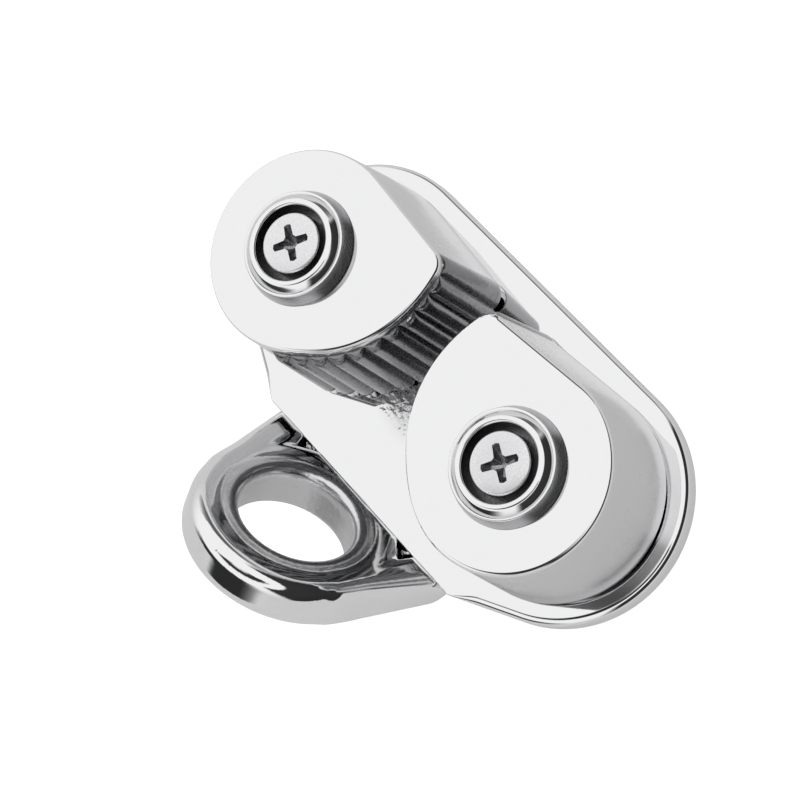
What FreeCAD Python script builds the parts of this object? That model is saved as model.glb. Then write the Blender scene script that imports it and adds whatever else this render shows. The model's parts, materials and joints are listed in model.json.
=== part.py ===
import FreeCAD, Part
import math
import os
import Sketcher

# Double cam cleat with a leading ring, in millimetres, +Z up out of the deck.
# Origin: the middle of the casting's underside, halfway between the two pivots.
# The pivots stand at -X (left) and +X (right). The ring is at -Y, where the load is.

V = FreeCAD.Vector
doc = FreeCAD.newDocument("cam_cleat")

# --- driving dimensions ---------------------------------------------------------------
DIMS = [
    ("pivot_half", 19.0, "half of the pivot spacing"),
    ("plate_t", 2.5, "plate thickness"),
    ("plate_end_r", 15.2, "radius of the plate's round ends"),
    ("plate_front", 17.8, "distance from the pivots to the straight front edge"),
    ("front_half", 17.2, "half length of the straight front edge"),
    ("plate_top_round", 0.9, "rounding of the plate's upper edge"),
    ("boss_r", 7.0, "radius of the raised seat round each pivot"),
    ("boss_h", 1.2, "height of the raised seat"),
    ("socket_depth", 0.8, "depth of the socket that locates the pivot sleeve"),
    ("screw_hole_r", 2.15, "clearance hole for the screws"),
    ("eye_y", 23.6, "distance from the pivots to the ring's centre, along -Y"),
    ("eye_z", 9.85, "height of the ring's centre"),
    ("eye_tilt", 56.0, "angle between the ring's plane and the deck"),
    ("eye_bore_r", 7.15, "radius of the ring's hole"),
    ("eye_outer_r", 12.8, "outer radius of the ring"),
    ("eye_near", 1.2, "how far the ring stands towards the cams from its centre"),
    ("eye_far", 5.0, "how far the ring stands away from the cams"),
    ("eye_mouth_round", 1.5, "rounding of the ring's hole"),
    ("eye_rim_round", 2.2, "rounding of the ring's outer rim"),
    ("web_round", 2.2, "rounding of the web's sides"),
    ("web_near", 0.4, "how far the web is set back from the ring's centre"),
    ("web_foot_half", 17.4, "half width of the web at its foot"),
    ("web_foot_drop", 15.0, "how far the web reaches below the ring's centre"),
    ("cam_bottom", 4.5, "height of the cam's underside"),
    ("cam_top", 18.4, "height of the cam's flat top"),
    ("cam_heel_r", 12.0, "radius of the cam's heel at the top face"),
    ("cam_draft", 1.0, "how much wider the cam is at its underside"),
    ("cam_side_slope", 5.2, "angle of the cam's straight side"),
    ("spiral_rate", 0.301, "growth of the gripping side, per radian"),
    ("spiral_start", -43.7, "angle where the gripping side leaves the heel"),
    ("spiral_blend", 14.0, "angle over which it leaves the heel"),
    ("nose_r", 2.2, "radius of the cam's nose"),
    ("tooth_count", 10, "number of gripping ridges"),
    ("tooth_pitch", 2.45, "distance between ridges"),
    ("tooth_out", 0.8, "how far a ridge stands out of the cam's side"),
    ("tooth_dome", 1.2, "height of the ridges' rounded tops"),
    ("tooth_top_gap", 1.0, "plain band above the ridges"),
    ("edge_break", 0.1, "edge break round a cam's top"),
    ("right_bevel", 0.8, "height of the polished bevel on the right cam"),
    ("right_inset", 1.05, "width of that bevel on its straight side"),
    ("cam_bore_r", 6.4, "bore of the cam, the bush's outside"),
    ("bush_bore_r", 5.55, "bore of the bearing bush"),
    ("sleeve_r", 5.5, "outside of the pivot sleeve"),
    ("washer_hole_r", 5.6, "hole of the thrust washers"),
    ("lower_washer_r", 7.0, "outside of the lower thrust washer"),
    ("upper_washer_r", 6.4, "outside of the upper thrust washer"),
    ("washer_t", 0.75, "thickness of the thrust washers"),
    ("axial_gap", 0.05, "end clearance either side of a thrust washer"),
    ("well_inner_r", 7.3, "inside of the spring well under the cam"),
    ("well_outer_r", 9.8, "outside of the spring well"),
    ("well_depth", 7.0, "depth of the spring well"),
    ("collar_foot_r", 6.85, "radius of the pivot's collar at the cam"),
    ("collar_step_r", 6.3, "radius of the collar below its step"),
    ("collar_top_r", 6.0, "radius of the collar's top ring"),
    ("collar_step_h", 1.85, "height of the step above the collar's underside"),
    ("collar_h", 2.65, "height of the collar"),
    ("collar_round", 0.75, "outer rounding of the collar's top ring"),
    ("collar_mouth_round", 0.25, "inner rounding of the collar's top ring"),
    ("recess_r", 4.5, "counterbore for the screw's head"),
    ("screw_r", 2.0, "M4 thread, outside"),
    ("shank_r", 1.77, "plain shank above the thread, at the pitch diameter"),
    ("screw_len", 30.0, "length under the head"),
    ("head_r", 3.67, "radius of the cheese head"),
    ("head_h", 2.6, "height of the cheese head"),
    ("head_round", 0.35, "rounding of the head's top edge"),
    ("cross_half", 2.1, "half span of the cross recess"),
    ("cross_half_w", 0.45, "half width of the recess's arms"),
    ("cross_depth", 1.5, "depth of the recess"),
    ("cross_turn", -31.0, "how far the recess is turned from the line of the pivots"),
    ("coil_r", 8.5, "mean radius of the torsion spring"),
    ("wire_r", 0.55, "radius of the spring's wire"),
    ("coil_pitch", 1.45, "pitch of the coil"),
    ("coil_turns", 4.0, "turns in the coil"),
    ("coil_start", 3.9, "height of the lowest turn"),
    ("leg_angle", 200.0, "direction of the spring's legs from the pivot"),
    ("leg_bend", 1.0, "bend radius between the coil and a leg"),
    ("leg_len", 2.0, "straight length of each leg"),
    ("leg_hole_r", 0.75, "holes for the spring's legs"),
    ("stop_ring_r", 11.6, "radius at which the stop peg stands"),
    ("stop_angle", 48.0, "direction of the stop peg from the pivot"),
    ("stop_peg_r", 0.95, "radius of the stop peg"),
    ("stop_peg_h", 3.8, "height of the stop peg above the plate"),
    ("stop_slot_half", 1.15, "half width of the cam's stop slot"),
    ("stop_slot_depth", 2.4, "depth of the stop slot"),
    ("open_angle", 50.0, "how far each cam opens"),
]

sheet = doc.addObject("Spreadsheet::Sheet", "dims")
sheet.Label = "dims"
for row, (alias, value, meaning) in enumerate(DIMS, start=1):
    sheet.set("A%d" % row, meaning)
    sheet.set("B%d" % row, str(value))
    sheet.setAlias("B%d" % row, alias)
doc.recompute()


def d(alias):
    """One driving dimension, read from the sheet."""
    return float(getattr(sheet, alias))


def expr(text):
    """Turn {alias} into a reference to the sheet."""
    return text.replace("{", "dims.").replace("}", "")


def value(text):
    """The number that an expression over {alias} gives."""
    names = {alias: d(alias) for alias, _, _ in DIMS}
    total = 0.0
    for term in text.replace("-", "+-").split("+"):
        term = term.strip()
        if not term:
            continue
        sign = -1.0 if term.startswith("-") else 1.0
        term = term.lstrip("-").strip()
        product = 1.0
        for factor in term.split("*"):
            factor = factor.strip().strip("{}")
            product *= names[factor] if factor in names else float(factor)
        total += sign * product
    return total


# --- helpers for bodies ---------------------------------------------------------------
def new_body(name):
    body = doc.addObject("PartDesign::Body", name)
    body.Label = name
    return body


def plane_of(body, role):
    """One of the body's own origin planes."""
    return [f for f in body.Origin.OriginFeatures if f.Role == role][0]


def new_sketch(body, name, role="XY_Plane", offset=None):
    sketch = body.newObject("Sketcher::SketchObject", name)
    sketch.AttachmentSupport = [(plane_of(body, role), "")]
    sketch.MapMode = "FlatFace"
    if offset is not None:
        sketch.AttachmentOffset = offset
    return sketch


def closed_profile(sketch, points):
    """A closed polygon whose corners are all driven by expressions over the sheet."""
    count = len(points)
    places = [V(value(x), value(y), 0) for x, y in points]
    for i in range(count):
        sketch.addGeometry(Part.LineSegment(places[i], places[(i + 1) % count]), False)
    for i in range(count):
        sketch.addConstraint(Sketcher.Constraint("Coincident", i, 2, (i + 1) % count, 1))
    for i, (x, y) in enumerate(points):
        for kind, text, number, axis in (("DistanceX", x, places[i].x, -2), ("DistanceY", y, places[i].y, -1)):
            if abs(number) < 1e-9:
                sketch.addConstraint(Sketcher.Constraint("PointOnObject", i, 1, axis))
            else:
                index = sketch.addConstraint(Sketcher.Constraint(kind, -1, 1, i, 1, number))
                sketch.setExpression("Constraints[%d]" % index, expr(text))


def circles(sketch, centres, radius):
    """Circles of one driven radius, at driven centres."""
    for x, y in centres:
        cx, cy = value(x), value(y)
        g = sketch.addGeometry(Part.Circle(V(cx, cy, 0), V(0, 0, 1), value(radius)), False)
        c = sketch.addConstraint(Sketcher.Constraint("Radius", g, value(radius)))
        sketch.setExpression("Constraints[%d]" % c, expr(radius))
        for kind, text, number, axis in (("DistanceX", x, cx, -2), ("DistanceY", y, cy, -1)):
            if abs(number) < 1e-9:
                sketch.addConstraint(Sketcher.Constraint("PointOnObject", g, 3, axis))
            else:
                c = sketch.addConstraint(Sketcher.Constraint(kind, -1, 1, g, 3, number))
                sketch.setExpression("Constraints[%d]" % c, expr(text))


def pad(body, name, sketch, length):
    feature = body.newObject("PartDesign::Pad", name)
    feature.Profile = sketch
    feature.Length = value(length)
    feature.setExpression("Length", expr(length))
    doc.recompute()
    return feature


def pocket(body, name, sketch, length, reverse=False):
    """A pocket that has to remove something."""
    before = body.Shape.Volume
    feature = body.newObject("PartDesign::Pocket", name)
    feature.Profile = sketch
    feature.Length = value(length)
    feature.setExpression("Length", expr(length))
    feature.Reversed = reverse
    doc.recompute()
    assert body.Shape.Volume < before - 1e-3, name + " removed nothing"
    return feature


def revolve(body, name, sketch):
    feature = body.newObject("PartDesign::Revolution", name)
    feature.Profile = sketch
    feature.ReferenceAxis = (sketch, ["V_Axis"])
    feature.Angle = 360.0
    doc.recompute()
    return feature


def fillet(body, name, radius, wanted):
    """Round the edges of the body's last feature that `wanted` picks."""
    base = body.Tip
    edges = ["Edge%d" % (i + 1) for i, e in enumerate(base.Shape.Edges) if wanted(e)]
    assert edges, name + " found no edges"
    feature = body.newObject("PartDesign::Fillet", name)
    feature.Base = (base, edges)
    feature.Radius = value(radius)
    feature.setExpression("Radius", expr(radius))
    doc.recompute()
    assert "Invalid" not in feature.State, name + " could not be rounded"
    return feature


def circle_at(radius, height):
    """Picks full circles of one radius at one height."""
    def wanted(e):
        return (isinstance(e.Curve, Part.Circle) and abs(e.Curve.Radius - radius) < 1e-3
                and abs(e.Curve.Center.z - height) < 1e-3)
    return wanted


def turned(name, side, profile, lift):
    """A turned piece: its (radius, height) profile revolved, then stood on its pivot."""
    body = new_body(name)
    sketch = new_sketch(body, name + "_profile", "XZ_Plane")
    closed_profile(sketch, profile)
    doc.recompute()
    revolve(body, name + "_turning", sketch)
    body.Placement = FreeCAD.Placement(V(side * d("pivot_half"), 0, value(lift)), FreeCAD.Rotation())
    body.setExpression("Placement.Base.x", expr("%d * {pivot_half}" % side))
    body.setExpression("Placement.Base.z", expr(lift))
    return body


nodes = []
SIDES = (("left", -1), ("right", 1))

# --- the base casting: plate, seats, stop pegs and leading ring ------------------------
base = new_body("base_plate")

outline = new_sketch(base, "plate_outline")
px, r_end = d("pivot_half"), d("plate_end_r")
front, fx = d("plate_front"), d("front_half")
# The side edges leave the round ends at a tangent and run to the ends of the front edge.
reach = math.hypot(px - fx, front)
swing = math.atan2(-front, fx - px) + math.acos(r_end / reach)
tangent = V(px + r_end * math.cos(swing), r_end * math.sin(swing), 0)
arc_right = Part.ArcOfCircle(Part.Circle(V(px, 0, 0), V(0, 0, 1), r_end), swing, math.pi / 2)
arc_left = Part.ArcOfCircle(Part.Circle(V(-px, 0, 0), V(0, 0, 1), r_end), math.pi / 2, math.pi - swing)
outline.addGeometry([
    Part.LineSegment(V(px, r_end, 0), V(-px, r_end, 0)),
    arc_left,
    Part.LineSegment(V(-tangent.x, tangent.y, 0), V(-fx, -front, 0)),
    Part.LineSegment(V(-fx, -front, 0), V(fx, -front, 0)),
    Part.LineSegment(V(fx, -front, 0), tangent),
    arc_right,
], False)
for a in (2, 3):
    outline.addConstraint(Sketcher.Constraint("Coincident", a, 2, a + 1, 1))
for first, second in ((0, 1), (5, 0), (1, 2), (4, 5)):
    outline.addConstraint(Sketcher.Constraint("Tangent", first, 2, second, 1))
for geometry, point, x, y in ((1, 3, "-1 * {pivot_half}", None), (5, 3, "{pivot_half}", None),
                              (3, 1, "-1 * {front_half}", "-1 * {plate_front}"),
                              (3, 2, "{front_half}", "-1 * {plate_front}")):
    c = outline.addConstraint(Sketcher.Constraint("DistanceX", -1, 1, geometry, point, value(x)))
    outline.setExpression("Constraints[%d]" % c, expr(x))
    if y is None:
        outline.addConstraint(Sketcher.Constraint("PointOnObject", geometry, point, -1))
    else:
        c = outline.addConstraint(Sketcher.Constraint("DistanceY", -1, 1, geometry, point, value(y)))
        outline.setExpression("Constraints[%d]" % c, expr(y))
c = outline.addConstraint(Sketcher.Constraint("Radius", 1, r_end))
outline.setExpression("Constraints[%d]" % c, expr("{plate_end_r}"))
doc.recompute()
pad(base, "plate", outline, "{plate_t}")

fillet(base, "plate_edge", "{plate_top_round}",
       lambda e: abs(e.BoundBox.ZMin - d("plate_t")) < 1e-6
       and abs(e.BoundBox.ZMax - d("plate_t")) < 1e-6 and e.BoundBox.YMax > -front + 0.01)


def tilted(turn, set_back=0.0):
    """A frame at the ring's centre, turned about X from the deck, set back along its axis."""
    tilt = math.radians(d("eye_tilt"))
    centre = V(0, -d("eye_y") - set_back * math.sin(tilt), d("eye_z") - set_back * math.cos(tilt))
    return FreeCAD.Placement(centre, FreeCAD.Rotation(V(1, 0, 0), turn))


def drive_tilt(sketch, turn, set_back="0 mm"):
    """Bind a tilted sketch to the sheet."""
    sketch.setExpression("AttachmentOffset.Base.y", "-dims.eye_y * 1 mm - %s * sin(dims.eye_tilt)" % set_back)
    sketch.setExpression("AttachmentOffset.Base.z", "dims.eye_z * 1 mm - %s * cos(dims.eye_tilt)" % set_back)
    sketch.setExpression("AttachmentOffset.Rotation.Angle", "%s - dims.eye_tilt" % turn)


# The web: a flat fan that carries the ring, set back so that the ring stands proud of it.
lead = new_body("leading_ring")
web = new_sketch(lead, "web_outline", "XY_Plane", tilted(180 - d("eye_tilt"), d("web_near")))
r_out, foot, drop = d("eye_outer_r"), d("web_foot_half"), d("web_foot_drop")
lean = math.atan2(-drop, foot) + math.acos(r_out / math.hypot(foot, drop))
side_start = V(r_out * math.cos(lean), r_out * math.sin(lean), 0)
web.addGeometry([
    Part.ArcOfCircle(Part.Circle(V(0, 0, 0), V(0, 0, 1), r_out), lean, math.pi - lean),
    Part.LineSegment(V(-side_start.x, side_start.y, 0), V(-foot, -drop, 0)),
    Part.LineSegment(V(-foot, -drop, 0), V(foot, -drop, 0)),
    Part.LineSegment(V(foot, -drop, 0), side_start),
], False)
for a, b in ((0, 1), (3, 0)):
    web.addConstraint(Sketcher.Constraint("Tangent", a, 2, b, 1))
for a, b in ((1, 2), (2, 3)):
    web.addConstraint(Sketcher.Constraint("Coincident", a, 2, b, 1))
web.addConstraint(Sketcher.Constraint("Coincident", 0, 3, -1, 1))
c = web.addConstraint(Sketcher.Constraint("Radius", 0, r_out))
web.setExpression("Constraints[%d]" % c, expr("{eye_outer_r}"))
for point, x in ((1, "-1 * {web_foot_half}"), (2, "{web_foot_half}")):
    for kind, text in (("DistanceX", x), ("DistanceY", "-1 * {web_foot_drop}")):
        c = web.addConstraint(Sketcher.Constraint(kind, -1, 1, 2, point, value(text)))
        web.setExpression("Constraints[%d]" % c, expr(text))
doc.recompute()
pad(lead, "web", web, "{eye_far} - {web_near}")

web_axis = FreeCAD.Rotation(V(1, 0, 0), 180 - d("eye_tilt")).multVec(V(0, 0, 1))
ring_centre = V(0, -d("eye_y"), d("eye_z"))


def web_rim(e):
    """Picks the web's sides and round top, at its near and far faces."""
    middle = e.valueAt((e.FirstParameter + e.LastParameter) / 2) - ring_centre
    depth = middle.dot(web_axis)
    flat = e.tangentAt(e.FirstParameter).dot(web_axis)
    outside = middle.Length > d("eye_outer_r") - 0.5 and middle.z > -0.7 * drop
    return abs(flat) < 1e-6 and outside and min(abs(depth - d("web_near")), abs(depth - d("eye_far"))) < 1e-3


fillet(lead, "web_edge", "{web_round}", web_rim)

# The ring's hole through the web, a little wide so that the ring's own section shapes it.
bore = new_sketch(lead, "ring_bore", "XY_Plane", tilted(180 - d("eye_tilt"), d("eye_far")))
drive_tilt(bore, "180", "dims.eye_far * 1 mm")
circles(bore, [("0", "0")], "{eye_bore_r} + {eye_mouth_round}")
doc.recompute()
pocket(lead, "web_hole", bore, "2 * {eye_far}")


def rounded_section(sketch, r0, r1, w0, w1, inner, outer):
    """A rectangle with two rounded inner and two rounded outer corners."""
    quarter = math.pi / 2
    corners = [(r1 - outer, w0 + outer, outer, 3), (r1 - outer, w1 - outer, outer, 0),
               (r0 + inner, w1 - inner, inner, 1), (r0 + inner, w0 + inner, inner, 2)]
    arcs = [Part.ArcOfCircle(Part.Circle(V(x, y, 0), V(0, 0, 1), r), q * quarter, (q + 1) * quarter)
            for x, y, r, q in corners]
    for i, arc in enumerate(arcs):
        sketch.addGeometry(arc, False)
        sketch.addGeometry(Part.LineSegment(arc.EndPoint, arcs[(i + 1) % 4].StartPoint), False)
    for i in range(4):
        sketch.addConstraint(Sketcher.Constraint("Tangent", 2 * i, 2, 2 * i + 1, 1))
        sketch.addConstraint(Sketcher.Constraint("Tangent", 2 * i + 1, 2, (2 * i + 2) % 8, 1))


# The ring: a rounded section turned about the ring's axis.
ring = new_sketch(lead, "ring_section", "XY_Plane", tilted(270 - d("eye_tilt")))
drive_tilt(ring, "270")
rounded_section(ring, d("eye_bore_r"), d("eye_outer_r"), -d("eye_near"), d("eye_far"),
                d("eye_mouth_round"), d("eye_rim_round"))
for corner, alias in ((0, "eye_rim_round"), (2, "eye_rim_round"), (4, "eye_mouth_round"), (6, "eye_mouth_round")):
    c = ring.addConstraint(Sketcher.Constraint("Radius", corner, d(alias)))
    ring.setExpression("Constraints[%d]" % c, "dims." + alias)
doc.recompute()
revolve(lead, "ring", ring)

# Trim what reaches over the plate's flat top or below its underside.
over = new_sketch(lead, "over_plate", "XY_Plane", FreeCAD.Placement(V(0, 0, d("plate_t")), FreeCAD.Rotation()))
closed_profile(over, [("-2 * {pivot_half}", "-1 * {plate_front}"), ("2 * {pivot_half}", "-1 * {plate_front}"),
                      ("2 * {pivot_half}", "{plate_front}"), ("-2 * {pivot_half}", "{plate_front}")])
over.setExpression("AttachmentOffset.Base.z", expr("{plate_t}"))
doc.recompute()
pocket(lead, "trim_over", over, "{eye_outer_r}", True)
under = new_sketch(lead, "under_plate", "XY_Plane")
closed_profile(under, [("-2 * {pivot_half}", "-3 * {plate_front}"), ("2 * {pivot_half}", "-3 * {plate_front}"),
                       ("2 * {pivot_half}", "{plate_front}"), ("-2 * {pivot_half}", "{plate_front}")])
doc.recompute()
pocket(lead, "trim_under", under, "{eye_outer_r}")

# Raised seats, their sockets, the screw holes, the stop pegs and the spring leg holes.
pivots = [("%d * {pivot_half}" % s, "0") for _, s in SIDES]


def raised(name, level, centres, radius):
    sketch = new_sketch(base, name, "XY_Plane", FreeCAD.Placement(V(0, 0, value(level)), FreeCAD.Rotation()))
    circles(sketch, centres, radius)
    sketch.setExpression("AttachmentOffset.Base.z", expr(level))
    doc.recompute()
    return sketch


def leg_spot(up):
    """Radius and direction of a spring leg; its bend carries it past the end of the coil."""
    climb = math.atan(d("coil_pitch") / (2 * math.pi * d("coil_r")))
    past = up * d("leg_bend") * (1 - math.sin(climb))
    return math.hypot(d("coil_r"), past), d("leg_angle") + math.degrees(math.atan2(past, d("coil_r")))


def around(radius, angle):
    """The same spot beside both pivots, mirrored left to right."""
    x = radius * math.cos(math.radians(angle))
    y = radius * math.sin(math.radians(angle))
    return [("%d * {pivot_half} + %.6f" % (s, -s * x), "%.6f" % y) for _, s in SIDES]


pad(base, "seats", raised("seat_circles", "{plate_t}", pivots, "{boss_r}"), "{boss_h}")
pegs = around(d("stop_ring_r"), d("stop_angle"))
pad(base, "stop_pegs", raised("peg_circles", "{plate_t}", pegs, "{stop_peg_r}"), "{stop_peg_h}")
pocket(base, "sockets", raised("socket_circles", "{plate_t} + {boss_h}", pivots, "{washer_hole_r}"),
       "{socket_depth}")
pocket(base, "screw_holes", raised("screw_circles", "{plate_t} + {boss_h}", pivots, "{screw_hole_r}"),
       "2 * {plate_t} + {boss_h}")
pocket(base, "leg_holes", raised("leg_circles", "{plate_t}", around(*leg_spot(-1)), "{leg_hole_r}"),
       "{plate_t} - 0.6")

casting = doc.addObject("Part::MultiFuse", "base_casting")
casting.Label = "base_casting"
casting.Shapes = [base, lead]
doc.recompute()
nodes.append(casting)

# --- turned pieces: pivots, bushes, washers, screws -------------------------------------
FLOOR = "{cam_top} + 2 * {axial_gap} - 0.15"
for side, sign in SIDES:
    # The pivot sleeve stands in its socket and ends in the collar that keeps the cam down.
    sleeve_len = "{cam_top} + 2 * {axial_gap} - {plate_t} - {boss_h} + {socket_depth}"
    pivot = turned(side + "_pivot", sign, [
        ("{screw_hole_r}", "0"),
        ("{sleeve_r}", "0"),
        ("{sleeve_r}", sleeve_len),
        ("{collar_foot_r}", sleeve_len),
        ("{collar_step_r}", sleeve_len + " + {collar_step_h}"),
        ("{collar_top_r}", sleeve_len + " + {collar_step_h}"),
        ("{collar_top_r}", sleeve_len + " + {collar_h}"),
        ("{recess_r}", sleeve_len + " + {collar_h}"),
        ("{recess_r}", sleeve_len + " - 0.15"),
        ("{screw_hole_r}", sleeve_len + " - 0.15"),
    ], "{plate_t} + {boss_h} - {socket_depth}")
    top = value(sleeve_len + " + {collar_h}")
    fillet(pivot, side + "_collar_edge", "{collar_round}", circle_at(d("collar_top_r"), top))
    fillet(pivot, side + "_collar_mouth", "{collar_mouth_round}", circle_at(d("recess_r"), top))
    nodes.append(pivot)

    bush_len = "{cam_top} - {washer_t} - {axial_gap} - {cam_bottom}"
    nodes.append(turned(side + "_bush", sign, [
        ("{bush_bore_r}", "0"), ("{cam_bore_r}", "0"), ("{cam_bore_r}", bush_len), ("{bush_bore_r}", bush_len),
    ], "{cam_bottom}"))

    for which, outside, lift in (("lower", "{lower_washer_r}", "{plate_t} + {boss_h}"),
                                 ("upper", "{upper_washer_r}", "{cam_top} - {washer_t} + {axial_gap}")):
        nodes.append(turned("%s_%s_washer" % (side, which), sign, [
            ("{washer_hole_r}", "0"), (outside, "0"), (outside, "{washer_t}"), ("{washer_hole_r}", "{washer_t}"),
        ], lift))

    # An M4 cheese-head screw with a cross recess. Its free end stands out of the underside.
    # Its thread ends at the underside, below a plain shank.
    thread_end = "{screw_len} - {cam_top} - 2 * {axial_gap} + 0.15"
    screw = turned(side + "_screw", sign, [
        ("0", "0"), ("{screw_r} - 0.5", "0"), ("{screw_r}", "0.5"), ("{screw_r}", thread_end),
        ("{shank_r}", thread_end), ("{shank_r}", "{screw_len}"), ("{head_r}", "{screw_len}"),
        ("{head_r}", "{screw_len} + {head_h}"), ("0", "{screw_len} + {head_h}"),
    ], FLOOR + " - {screw_len}")
    head_top = value("{screw_len} + {head_h}")
    fillet(screw, side + "_head_edge", "{head_round}", circle_at(d("head_r"), head_top))
    cross = new_sketch(screw, side + "_cross", "XY_Plane",
                       FreeCAD.Placement(V(0, 0, head_top), FreeCAD.Rotation(V(0, 0, 1), d("cross_turn"))))
    cross.setExpression("AttachmentOffset.Base.z", expr("{screw_len} + {head_h}"))
    cross.setExpression("AttachmentOffset.Rotation.Angle", expr("{cross_turn}"))
    arm, half = "{cross_half}", "{cross_half_w}"
    closed_profile(cross, [
        (arm, "-1 * " + half), (arm, half), (half, half), (half, arm), ("-1 * " + half, arm),
        ("-1 * " + half, half), ("-1 * " + arm, half), ("-1 * " + arm, "-1 * " + half),
        ("-1 * " + half, "-1 * " + half), ("-1 * " + half, "-1 * " + arm), (half, "-1 * " + arm),
        (half, "-1 * " + half),
    ])
    doc.recompute()
    pocket(screw, side + "_recess", cross, "{cross_depth}")
    nodes.append(screw)


# --- the cams -----------------------------------------------------------------------------
def spiral(angle, out=0.0):
    """A point on the gripping side, and its outward normal; `out` moves it off the side."""
    blend = math.radians(d("spiral_blend"))
    first = math.radians(d("spiral_start")) - 3 * blend

    def ramp(a):
        x = a - math.radians(d("spiral_start"))
        return (x + math.hypot(x, blend)) / 2, (1 + x / math.hypot(x, blend)) / 2

    rise, slope = ramp(angle)
    r = d("cam_heel_r") * math.exp(d("spiral_rate") * (rise - ramp(first)[0]))
    k = d("spiral_rate") * slope
    size = math.hypot(1, k)
    radial = V(math.cos(angle), math.sin(angle), 0)
    along = V(-math.sin(angle), math.cos(angle), 0)
    normal = (radial - along * k) * (1 / size)
    return radial * r + normal * out, normal


SIDE_NORMAL = V(math.sin(math.radians(d("cam_side_slope"))), math.cos(math.radians(d("cam_side_slope"))), 0)
SPIRAL_FIRST = math.radians(d("spiral_start")) - 3 * math.radians(d("spiral_blend"))


def nose_angle():
    """Where the spiral meets the nose, so that one round joins it to the straight side."""
    low, high = 0.0, math.radians(60)
    for _ in range(60):
        middle = (low + high) / 2
        point, normal = spiral(middle)
        centre = point - normal * d("nose_r")
        if centre.dot(SIDE_NORMAL) < d("cam_heel_r") - d("nose_r"):
            low = middle
        else:
            high = middle
    return low


NOSE_END = nose_angle()


def grip_angles():
    """Directions a half pitch apart along the gripping side, from the nose back to the heel."""
    angles, last, run, angle = [NOSE_END], spiral(NOSE_END)[0], 0.0, NOSE_END
    while len(angles) < 2 * int(d("tooth_count")) + 1:
        angle -= math.radians(0.1)
        here = spiral(angle)[0]
        run += here.distanceToPoint(last)
        last = here
        if run >= d("tooth_pitch") / 2:
            angles.append(angle)
            run = 0.0
    return angles[::-1]


def cam_wire(out, z, tooth=None, inset=0.0):
    """The cam's outline moved `out` off its nominal line, at one height.

    `tooth` is how far the ridges stand out, or None for a plain gripping side.
    `inset` takes the straight side back, which leaves a bevel above the full outline.
    """
    lift = V(0, 0, z)
    heel = d("cam_heel_r") + out
    point, normal = spiral(NOSE_END)
    centre = point - normal * d("nose_r")
    nose = d("nose_r") + out
    ahead = V(SIDE_NORMAL.y, -SIDE_NORMAL.x, 0)
    side_a = SIDE_NORMAL * (heel - inset)
    side_b = centre + SIDE_NORMAL * (nose - inset) + ahead * math.sqrt(nose ** 2 - (nose - inset) ** 2)
    mid_nose = centre + ((side_b - centre).normalize() + normal).normalize() * nose
    first = V(math.cos(SPIRAL_FIRST), math.sin(SPIRAL_FIRST), 0) * heel
    turn = (math.atan2(SIDE_NORMAL.y, SIDE_NORMAL.x) + SPIRAL_FIRST + 2 * math.pi) / 2
    mid_heel = V(math.cos(turn), math.sin(turn), 0) * (heel - 0.3 * inset)
    edges = [Part.Arc(side_a + lift, mid_heel + lift, first + lift).toShape()]
    marks = grip_angles()
    stops = [SPIRAL_FIRST, NOSE_END] if tooth is None else [SPIRAL_FIRST, marks[0]]
    steps = 28
    grip = [spiral(stops[0] + (stops[1] - stops[0]) * i / steps, out)[0] + lift for i in range(steps + 1)]
    grip[0] = first + lift
    curve = Part.BSplineCurve()
    curve.interpolate(grip)
    edges.append(curve.toShape())
    end = grip[-1]
    if tooth is not None:
        for i in range(0, len(marks) - 1, 2):
            crest = spiral(marks[i + 1], out + tooth)[0] + lift
            valley = spiral(marks[i + 2], out)[0] + lift
            edges.append(Part.Arc(end, crest, valley).toShape())
            end = valley
    edges.append(Part.Arc(end, mid_nose + lift, side_b + lift).toShape())
    edges.append(Part.LineSegment(side_b + lift, side_a + lift).toShape())
    return Part.Wire(edges)


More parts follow.
